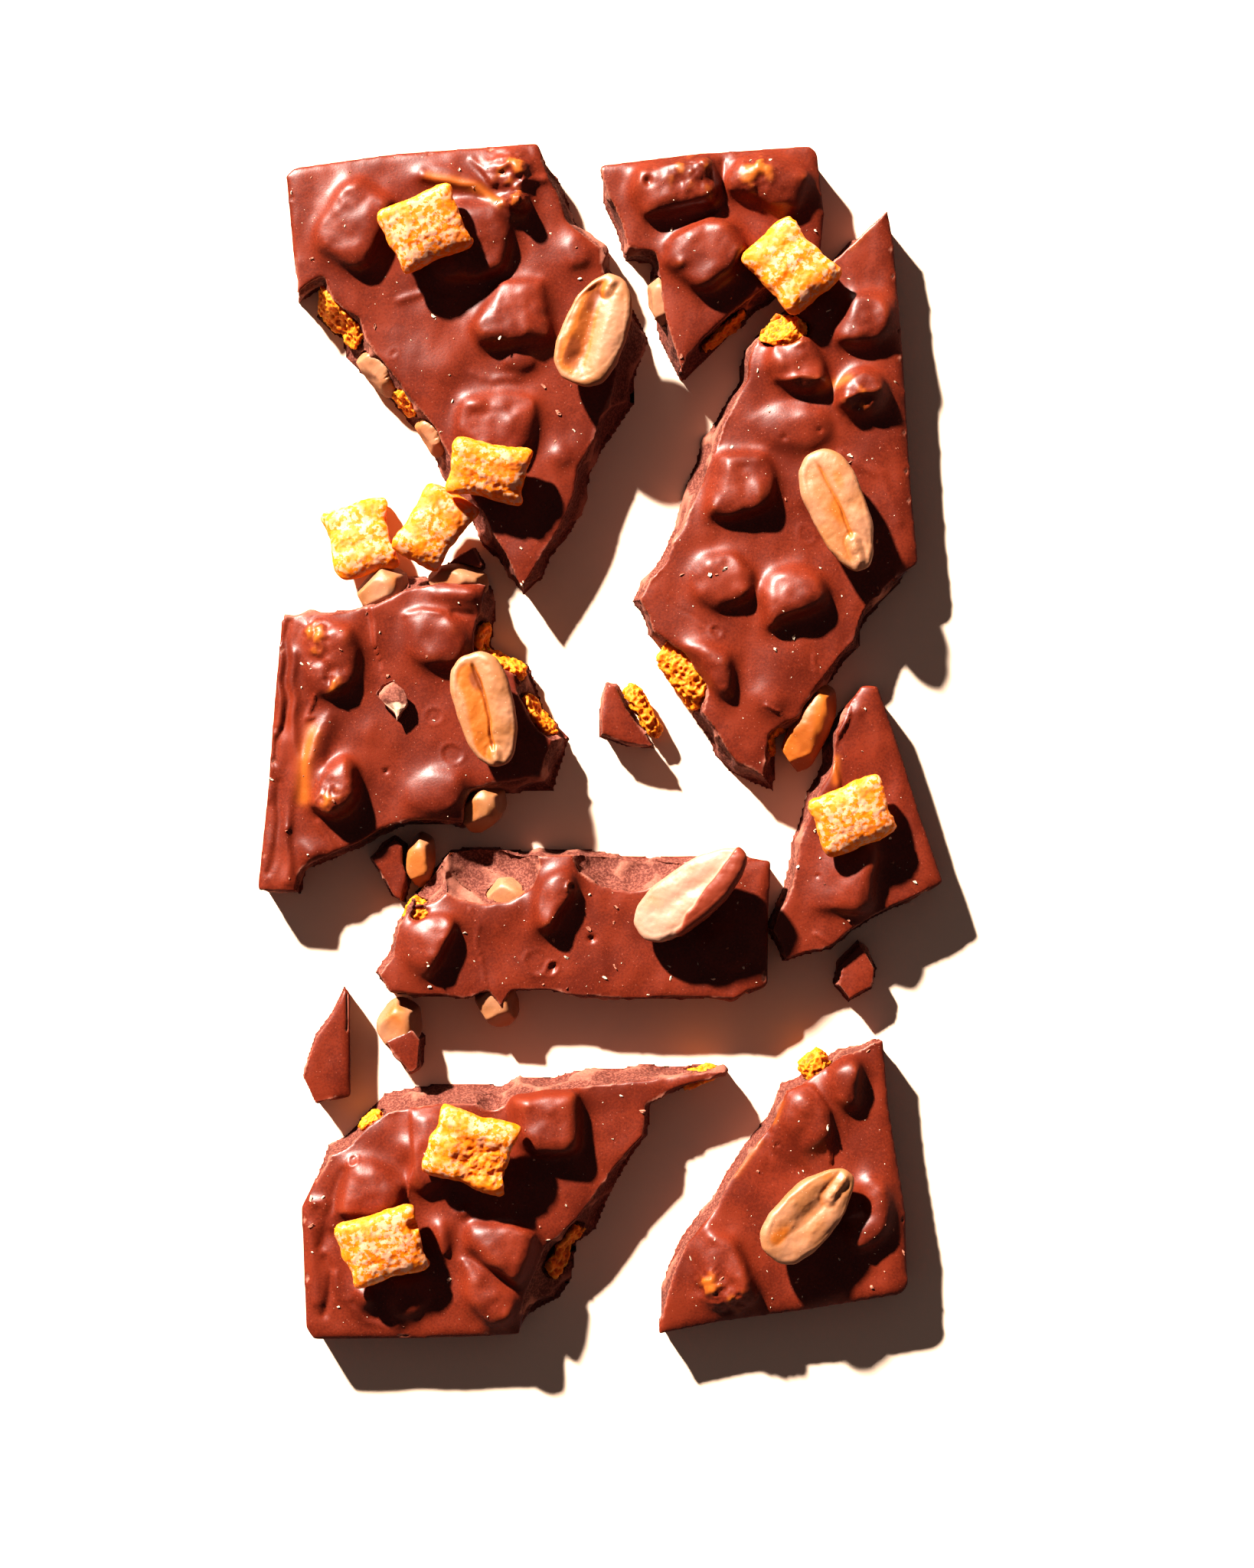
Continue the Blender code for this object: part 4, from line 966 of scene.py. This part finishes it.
def honeycomb_piece(name):
    clay = Clay(netted(merged(name), NET_FOAM))
    clay.push(GAP + 0.05)
    if name == TORN_FLUSH:
        cut_flat(clay, (-0.5, 0.6, 0.6), 0.2)
    bubbles = pits(clay.co, LARGE_BUBBLE, OPEN_SHARE)
    small = pits(clay.co + 17, SMALL_BUBBLE, OPEN_SHARE)
    clay.push(-LARGE_DEPTH * bubbles ** 0.7 - SMALL_DEPTH * small + 0.35 * crag(clay.co, 1.8))
    clay.rest()
    # Deep points get the darker amber: painted shade in the bubbles
    clay.note("crest", clay.crest(10))
    clay.note("sugar", ease(bubbles, 0.5, 0.1))
    finish_piece(clay.mesh_now(), f"{name}_honeycomb", "honeycomb", (name,))


for name in shown_in_breaks("_cereal"):
    honeycomb_piece(name)
print("pieces so far", len(made))

# %% [markdown]
# A peanut breaks clean, with flat facets and smooth flesh. Slicing it with planes would give razor edges. It
# is swelled to meet the chocolate and evened out instead, and then pressed flat from six sides, which
# leaves edges that the net rounds a little. A table says how toasted each bit is.

# %% Cut nuts
NET_NUT = 0.24
KEPT = 0.78            # share of a nut's reach that each cut leaves
NUT_CUTS = ((0.9, 0.1, 0.4), (-0.7, 0.6, 0.3), (0.1, -0.8, 0.6), (-0.3, -0.2, 0.9), (0.4, 0.8, 0.4),
            (-0.8, -0.5, -0.1))
NUT_TOAST = {"shard_top_left_nut_2": 0.08, "shard_top_left_nut_4": 0.08, "shard_top_middle_nut_1": 0.1,
             "shard_right_nut_4": 0.85, "shard_left_nut_5": 0.15, "shard_centre_nut_2": 0.05,
             "shard_left_nut_1": 0.05, "shard_left_nut_2": 0.10, "chip_nut_cap_nut": 0.15}
USUAL_TOAST = 0.35


def nut_piece(name):
    clay = Clay(netted(merged(name), NET_NUT))
    clay.push(GAP)
    clay.co = clay.spread(clay.co, 6)
    clay.push(0.8)
    for cut in NUT_CUTS:
        cut_flat(clay, cut, KEPT)
    clay.relax(0.5, 0.5, 2)
    clay.push(0.10 * crag(clay.co, 1.4))
    clay.rest()
    toast = NUT_TOAST.get(name, USUAL_TOAST)
    clay.note("toast", np.clip(toast + 0.35 * ripple(clay.co, 3.4, 2), 0, 0.8))
    finish_piece(clay.mesh_now(), f"{name}_cut", "nut", (name,))


for name in shown_in_breaks("_nut"):
    nut_piece(name)
print("pieces so far", len(made))

# %% [markdown]
# ## What lies on top
#
# The toppings show best, and each lies tilted. It is easier to shape a thing that lies straight, so each is
# turned back to lie level at the middle of the scene, worked there with its length along X, and then laid
# in its place again by the same matrix.

# %% Level toppings and back again
# x, y, length and width in mm, then the turn and the tilts along and across it in degrees
CEREALS = {
    "cereal_top_left": (-25.9, 76.5, 11.3, 9.3, 21, -4, 8),
    "cereal_top_middle": (28.7, 71.2, 9.8, 11.8, 42, 3, -8),
    "cereal_upper_left": (-16.6, 40.3, 11.6, 8.0, -12, 0, 16),
    "cereal_left_a": (-24.9, 32.3, 8.2, 11.0, -32, 4, -6),
    "cereal_left_b": (-36.0, 30.8, 9.2, 11.0, 15, 2, -20),
    "cereal_right": (37.8, -11.2, 11.3, 8.6, 24, 3, 5),
    "cereal_bottom_a": (-19.0, -60.9, 12.3, 10.0, -18, -3, 6),
    "cereal_bottom_b": (-32.3, -75.2, 11.6, 9.3, 15, 3, 6),
}
PEANUTS = {
    "peanut_top_left": (-0.8, 61.2, 17.5, 9.6, 68, 0, -6),
    "peanut_right": (35.5, 34.2, 19.5, 8.3, -68, -3, 5),
    "peanut_left": (-17.1, 4.6, 17.8, 8.6, -75, 0, 6),
    "peanut_centre": (13.3, -22.5, 20.5, 8.0, 38, -14, -12),
    "peanut_bottom": (31.2, -70.4, 17.5, 8.6, 47, 3, 6),
}
NUT_RIM = 5.3          # height of a peanut's rim above the lowest point of its back


def laid(x, y, turn, tilt_along, tilt_across):
    """The matrix that lays a level topping in its place, but for its height."""
    turned = Matrix.Rotation(math.radians(turn), 4, "Z")
    along = Matrix.Rotation(math.radians(tilt_along), 4, "Y")
    across = Matrix.Rotation(math.radians(tilt_across), 4, "X")
    return Matrix.Translation((x, y, 0)) @ turned @ along @ across


def carry(clay, matrix):
    table = np.array(matrix)
    clay.co = clay.co @ table[:3, :3].T + table[:3, 3]


def levelled(name, values, cell):
    """A topping's clay with its length along X, and the matrix that lays it back."""
    x, y, _, _, turn, tilt_along, tilt_across = values
    lay = laid(x, y, turn, tilt_along, tilt_across)
    clay = Clay(netted(merged(name), cell))
    carry(clay, lay.inverted())
    low = clay.co.min(axis=0)
    middle = (low + clay.co.max(axis=0)) / 2
    if name.startswith("peanut"):
        middle[2] = low[2] + NUT_RIM
    clay.co -= middle
    return clay, lay @ Matrix.Translation(middle)


print("toppings", len(CEREALS) + len(PEANUTS))

# %% [markdown]
# A cereal square is a small pillow of puffed corn, pinched at its rim, with drawn-out corners, soft ridges
# and a crust of sugar. One displacement texture for all eight would make them alike. Here the net is evened
# out until the solid's facets and ridges have gone, swelled back to its size, and worked from large forms to
# small. `u` and `v` say where a point lies along and across the square, from -1 to 1.

# %% Corners and waves
# Height of the ridges that a square still shows
STRIPES = {"cereal_top_middle": 0.22, "cereal_left_b": 0.18, "cereal_bottom_a": 0.08}
# How far the last of the solid's ridges is taken off
WORN = {"cereal_top_left": 0.07, "cereal_right": 0.06, "cereal_bottom_b": 0.07}
FAINT = 0.02           # height of the ridges on all others


def square_form(clay, name, u, v, shift):
    """Draw out the corners, and lay waves on the square; returns what lies high and near the sides."""
    end = ease(np.abs(u), 0.45, 1.0)
    side = ease(np.abs(v), 0.45, 1.0)
    corner = end * side * (1 + 0.6 * ripple(clay.co, 7, shift))
    clay.co[:, 0] += np.sign(u) * (0.35 * corner - 0.05 * end) + 0.5 * ripple(clay.co, 3.6, shift)
    clay.co[:, 1] += np.sign(v) * (0.35 * corner - 0.05 * side) + 0.5 * ripple(clay.co, 3.6, shift + 5)
    upper = ease(clay.co[:, 2], -0.6, 0.8)
    waves = STRIPES.get(name, FAINT) * ripple(clay.co * (0.55, 1, 1), 2.8, shift + 9)
    waves += 0.18 * ripple(clay.co, 5.0, shift + 3)
    clay.co[:, 2] -= WORN.get(name, 0) * np.cos(3 * np.pi * v)
    clay.co[:, 2] += (2 * upper - 1) * (waves + 0.03 * side)
    return upper, side


print("striped squares", list(STRIPES))

# %% [markdown]
# A square is cut from a strip, so one of its ends is open and ragged. Three squares were also torn on top.
# Cutting bits off would leave sharp flat faces, so both are pressed in unevenly. The places are kept, as
# little sugar lies there.

# %% Torn ends
# Place along and across the square, width and depth of the hollow
TORN = {"cereal_bottom_a": (0.30, -0.20, 0.75, 0.9), "cereal_bottom_b": (0.90, 0.35, 0.2, 1.0),
        "cereal_upper_left": (0.5, -0.75, 0.3, 0.5)}


def tear(clay, name, u, v, upper, side, shift):
    """Hollow the cut end and the torn place of a square, and return where it lies open."""
    middle = bell(clay.co[:, 2], 0.8)
    torn = ease(u, 0.86, 1.0) * middle * (1 - side)
    clay.co[:, 0] -= 1.5 * torn * (0.7 + 0.5 * ripple(clay.co, 1.6, shift + 2))
    along, across, spread, depth = TORN.get(name, (0, 0, 1, 0))
    open_part = upper * bell(np.hypot(u - along, v - across) + 0.1 * ripple(clay.co, 1.4, shift), spread)
    open_part = ease(open_part, 0.25, 0.8) * min(depth, 1)
    clay.co[:, 2] -= depth * open_part * (1 + 0.5 * crag(clay.co, 1.1, shift))
    return np.maximum(torn, open_part)


print("torn squares", list(TORN))

# %% [markdown]
# Last comes the crust: small pits where bubbles burst, and crumbs of two sizes. The sugar lies in patches
# on what faces up, and hardly at all where the square is torn.

# %% Frosted squares
NET_SQUARE = 0.18
EVEN_TURNS = 150
SWELL = 0.6            # what evening out took off


def cereal_topping(name, values, seed):
    """A puffed square: a soft pillow with drawn-out corners, open ends and a crust of sugar."""
    clay, lay = levelled(name, values, NET_SQUARE)
    clay.co = clay.spread(clay.co, EVEN_TURNS)
    clay.push(SWELL)
    length, width = values[2:4]
    shift = seed * 13.7
    u = clay.co[:, 0] / (length / 2)
    v = clay.co[:, 1] / (width / 2)
    upper, side = square_form(clay, name, u, v, shift)
    torn = tear(clay, name, u, v, upper, side, shift)
    crust = 0.08 * crag(clay.co, 1.5, shift) + 0.07 * crag(clay.co, 0.6, shift + 6)
    crust -= 0.10 * pits(clay.co + shift, 1.1, 0.5)
    clay.push(crust - 0.2 * torn * crag(clay.co, 0.8, shift))
    # Deep points get the darker amber: painted shade in the hollows
    clay.note("crest", clay.crest(8))
    skin = ease(clay.smoothed(10)[:, 2], -0.4, 0.9) * ease(clay.normals()[:, 2], 0.3, 0.7)
    patches = ease(crag(clay.co, 2.0, shift + 1), -0.40, 0.15)
    clay.note("sugar", np.clip(0.15 + skin * patches, 0, 1) * (1 - 0.85 * torn))
    carry(clay, lay)
    clay.rest()
    finish_piece(clay.mesh_now(), f"{name}_frosted", "cereal", (name,))


for seed, (name, values) in enumerate(CEREALS.items()):
    cereal_topping(name, values, seed)
print("squares", list(CEREALS))

# %% [markdown]
# A peanut half shows the flat face where it parted from its twin: a smooth rim all round, a slit along the
# middle with a hollow beside it, and the germ at one end. Each was roasted and worn in its own way, so a
# small table holds what differs. They could be sculpted one by one, but with `u` along and `v` across the
# half, one set of formulas makes all five and can be changed for all at once.
# The half on the centre shard lies on its side, has no slit, and was dipped in chocolate.

# %% Kernels
# Depth of the slit and of the hollow, side of the hollow, rise and length of the germ, and how brown it is
# beside the slit: roast and painted shade in the hollow
NUT_FACES = {
    "peanut_top_left": (0.0, 0.88, 1, 0.5, 1.6, 0.80),
    "peanut_right": (0.40, 0.15, -1, 0.7, 3.6, 0.22),
    "peanut_left": (0.50, 0.40, -1, 0.5, 1.4, 0.60),
    "peanut_centre": (0.0, 0.0, 1, 0.0, 5.0, 0.05),
    "peanut_bottom": (0.05, 0.26, 1, 0.55, 4.0, 0.22),
}


def kernel(clay, length, germ_length):
    """Even out the solid, fill out its pointed ends, and narrow the end with the germ."""
    clay.co = clay.spread(clay.co, 70)
    clay.push(0.3)
    u = np.clip(np.abs(clay.co[:, 0]) / (length / 2), 0, 0.97)
    clay.co[:, 1] *= (1 - u ** 2.8) ** 0.42 / np.sqrt(1 - u ** 2)
    clay.co[:, 1] *= 1 - 0.05 * germ_length * ease(clay.co[:, 0], 0.1 * length, 0.5 * length)


def germ_and_moat(u, from_slit, length, width, germ_length):
    """The germ is a short bar at one end of the slit, with a narrow dip all round."""
    germ_middle = 0.88 - germ_length / length
    past_germ = np.maximum(np.abs(u - germ_middle) * length - germ_length, 0) / 2
    from_germ = np.hypot(past_germ, from_slit * width / 2)
    return bell(from_germ, 0.75), bell(from_germ - 1.3, 0.35)


def dip(clay, u, v, shift):
    """Coat one corner with chocolate, which stands up a little."""
    edge = 0.72 * u - v - 0.42 + 0.12 * ripple(clay.co, 1.6, shift)
    clay.push(0.35 * ease(edge, -0.04, 0.12))
    clay.note("coated", ease(edge, 0.0, 0.08))


print("halves", list(NUT_FACES))

# %% [markdown]
# The face is worked as one height for every point of it: the hollow and the slit sink it, the germ lifts
# it, and a fine grain lies over all. The same masks then say where the roaster left its colour, and where
# brown is painted as shade in the hollow, the slit and the dip round the germ.

# %% Peanut halves
NET_HALF = 0.17
DIPPED_HALF = "peanut_centre"


def peanut_topping(name, values, seed):
    """Half a kernel: a flat face with its slit, a hollow beside it, and the germ at one end."""
    clay, lay = levelled(name, values, NET_HALF)
    slit_depth, hollow_depth, hollow_side, germ_rise, germ_length, roast_and_shade = NUT_FACES[name]
    length, width = values[2:4]
    shift = seed * 9.1
    kernel(clay, length, germ_length)
    u = clay.co[:, 0] / (length / 2)
    v = clay.co[:, 1] / (width / 2) / (1 - 0.12 * u)
    face = ease(clay.normals()[:, 2], 0.1, 0.6)
    inside = face * ease(np.hypot(u, v) + 0.07 * ripple(clay.co, 3.2, shift + 7), 1.0, 0.84)
    from_slit = v - (0.10 * np.sin(2.6 * u + seed) + 0.05 * ripple(clay.co, 2.0, shift))
    across = hollow_side * from_slit
    slit = bell(from_slit, 0.065) * ease(np.abs(u), 0.86, 0.7)
    hollow = bell(across - 0.27, 0.36) * ease(np.abs(u), 1.0, 0.5)
    germ, moat = [germ_rise * part for part in germ_and_moat(u, from_slit, length, width, germ_length)]
    lift = 0.35 * slit_depth * bell(v, 0.3) * (1 - u * u).clip(0) - 0.12 * inside
    lift += germ - 0.2 * moat - hollow_depth * hollow - slit_depth * slit * (1 - germ)
    lift += 0.13 * crag(clay.co, 2.4, shift) + 0.3 * germ * crag(clay.co, 0.9, shift)
    clay.co[:, 2] += inside * lift
    clay.push(0.16 * ripple(clay.co, 3.4, shift) + 0.06 * crag(clay.co, 1.2, shift))
    streak = ripple(clay.co * (0.45, 1, 1), 1.8, shift + 3)
    # Brown beside the slit is toast and painted shade; in the slit and the germ's dip it is painted shade;
    # the back is browner towards the table
    beside = ease(across, -0.15, 0.15) * ease(across, 0.88, 0.5) * ease(np.abs(u), 1.0, 0.7)
    toast = inside * (roast_and_shade * beside + slit_depth * slit + 0.25 * moat + 0.4 * ease(streak, 0.1, 0.9) + 0.05)
    toast *= 1 - germ.clip(0, 1)
    toast += (1 - face) * (0.38 + 0.2 * streak) * ease(-clay.co[:, 2], 0.2, 1.6)
    clay.note("toast", np.clip(toast, 0, 1))
    if name == DIPPED_HALF:
        dip(clay, u, v, shift)
    carry(clay, lay)
    clay.rest()
    finish = "pale_nut" if name == DIPPED_HALF else "nut"
    finish_piece(clay.mesh_now(), f"{name}_half", finish, (name,))


for seed, (name, values) in enumerate(PEANUTS.items()):
    peanut_topping(name, values, seed)
print("pieces so far", len(made))

# %% [markdown]
# ## Crumbs
#
# Snapping a bar sends crumbs everywhere. Two kinds lie on the chocolate: pale grains of sugar and corn, and
# flakes of chocolate. A particle system would make thousands of objects, so each kind is one piece made of
# many little faceted bits. A ray is shot straight down on the finished shards to find where each bit
# lands, and most bits are small.

# %% Scatter crumbs
RAY_START = 0.1        # height, in metres
REACH = (0.050, 0.088)     # how far from the middle crumbs fall along X and Y, in metres
LOWEST = 0.0065        # crumbs lie on the top only, not on the broken sides
FLATTEST = 0.8         # and only where it faces up


def crumb_shape(bm, spot, size, rng):
    matrix = (Matrix.Translation(spot) @ Matrix.Rotation(rng.uniform(0, 2 * math.pi), 4, "Z")
              @ Matrix.Rotation(rng.uniform(-0.5, 0.5), 4, "X")
              @ Matrix.Diagonal((size * rng.uniform(1.0, 2.2), size * 0.7, size * 0.35, 1)))
    fresh = bmesh.ops.create_icosphere(bm, subdivisions=1, radius=0.5, matrix=matrix)["verts"]
    for vert in fresh:
        vert.co += Vector(rng.uniform(-0.28, 0.28) * size for _ in range(3))


def scatter(name, material, count, sizes, rng):
    """Let a number of crumbs of sizes between two limits fall on the shards."""
    view = bpy.context.evaluated_depsgraph_get()
    trees = [BVHTree.FromObject(made[f"shard_{place}_poured"], view) for place in SHARDS]
    bm = bmesh.new()
    placed = 0
    while placed < count:
        x, y = [rng.uniform(-reach, reach) for reach in REACH]
        hits = [tree.ray_cast(Vector((x, y, RAY_START)), Vector((0, 0, -1))) for tree in trees]
        spots = [hit for hit, normal, _, _ in hits if hit and hit.z > LOWEST and normal.z > FLATTEST]
        if not spots:
            continue
        size = sizes[0] + (sizes[1] - sizes[0]) * rng.random() ** 4
        spot = max(spots, key=lambda hit: hit.z) / MM + Vector((0, 0, 0.2 * size))
        crumb_shape(bm, spot, size, rng)
        placed += 1
    bmesh.ops.recalc_face_normals(bm, faces=bm.faces)
    mesh = bpy.data.meshes.new(name)
    bm.to_mesh(mesh)
    bm.free()
    finish_piece(mesh, name, material, smooth=False)
    print(name, placed, "crumbs")


print("crumbs land above", LOWEST / MM, "mm")

# %% [markdown]
# Crumbs are too small to show a structure, so a colour that wanders between two shades is enough. Sugar and
# corn are pale and a little glossy, and flakes of chocolate have the pale pink of crushed chocolate.

# %% Crumbs
def crumb_finish(name, colour, roughness):
    material, tree, shader = new_material(name)
    parts = grain(tree, 0.0006, 0.0008, 0.2)
    darker = tuple(0.7 * part for part in colour)
    feed(tree, shader.inputs["Base Color"], mix_colour(tree, parts["Mottle"], darker, colour))
    shader.inputs["Roughness"].default_value = roughness
    return material


finishes["sugar_crumb"] = crumb_finish("sugar_crumb", (0.80, 0.62, 0.46), 0.5)
finishes["flake"] = crumb_finish("chocolate_flake", (0.42, 0.15, 0.09), 0.8)
SUGAR_SIZES = (0.12, 0.60)     # smallest and largest, in mm
FLAKE_SIZES = (0.14, 0.65)
scatter("sugar_crumbs", "sugar_crumb", 380, SUGAR_SIZES, random.Random(5))
scatter("chocolate_flakes", "flake", 220, FLAKE_SIZES, random.Random(6))

# %% [markdown]
# ## Floor, light and camera
#
# The bar lies on a plain pale floor, which is scenery and no part of it. A single square face is enough,
# with its ends far outside the camera's view. It is left out of reflections, as its glare would grey the
# dark chocolate.

# %% Floor
FLOOR_REACH = 0.6      # from the middle to each side, in metres


def floor():
    bm = bmesh.new()
    bmesh.ops.create_grid(bm, x_segments=1, y_segments=1, size=FLOOR_REACH)
    thing = to_object(bm, "floor")
    material, _, shader = new_material("pale_floor")
    settle(shader, {"Base Color": (0.93, 0.70, 0.54, 1), "Roughness": 0.9})
    thing.data.materials.append(material)
    thing.visible_glossy = False


floor()
print("floor", 2 * FLOOR_REACH, "m wide")

# %% [markdown]
# One lamp stands far off to the upper left, low enough to draw long shadows. It is far away so that it
# lights all of the bar alike, and large enough to soften the shadows' edges a little. A sun lamp would do
# as well, but an area lamp shows as a small window in each highlight. A faint glow fills the shadows.

# %% Lamp and sky
LAMP_SIDE = Vector((-5.6, 8.2, 6.0)).normalized()
LAMP_DISTANCE = 3.0    # in metres
LAMP_WIDTH = 0.13      # in metres
LAMP_POWER = 420       # in watts
GLOW = 0.085           # strength of the light from all round


def key_lamp():
    data = bpy.data.lights.new("key", "AREA")
    data.size = LAMP_WIDTH
    data.energy = LAMP_POWER
    data.color = (1.0, 0.95, 0.88)
    lamp = bpy.data.objects.new("key", data)
    bpy.context.scene.collection.objects.link(lamp)
    lamp.location = LAMP_SIDE * LAMP_DISTANCE
    lamp.rotation_mode = "QUATERNION"
    lamp.rotation_quaternion = LAMP_SIDE.to_track_quat("Z", "Y")


key_lamp()
print("the lamp stands", round(math.degrees(math.asin(LAMP_SIDE.z))), "degrees above the floor")
world = bpy.data.worlds.new("studio")
bpy.context.scene.world = world
world.use_nodes = True
settle(world.node_tree.nodes["Background"], {"Color": (1.0, 0.84, 0.84, 1), "Strength": GLOW})
bpy.context.scene.view_settings.view_transform = "Standard"
bpy.context.scene.view_settings.look = "Medium High Contrast"

# %% [markdown]
# The camera looks straight down from half a metre, so the tall toppings lean away from the middle just a
# little. Its lens follows from the height of the strip of slab that it has to take in.

# %% Camera
FILM = 36              # height of the film, in mm
STAND = 0.55           # height above the top of the slab, in metres
TAKEN_IN = 0.2355      # height of the picture at the top of the slab
camera_data = bpy.data.cameras.new("camera")
camera = bpy.data.objects.new("camera", camera_data)
bpy.context.scene.collection.objects.link(camera)
camera.location = (0.0040, -0.0064, STAND + SLAB * MM)
camera_data.sensor_fit = "VERTICAL"
camera_data.sensor_height = FILM
camera_data.lens = FILM * STAND / TAKEN_IN
bpy.context.scene.camera = camera
print("lens", round(camera_data.lens, 1), "mm")

# %% [markdown]
# ## Triangles
#
# The finished pieces have to keep the size of the solids. Here the triangles of all finished pieces are
# counted.

# %% Count the triangles
print("triangles", sum(len(p.vertices) - 2 for thing in made.values() for p in thing.data.polygons))
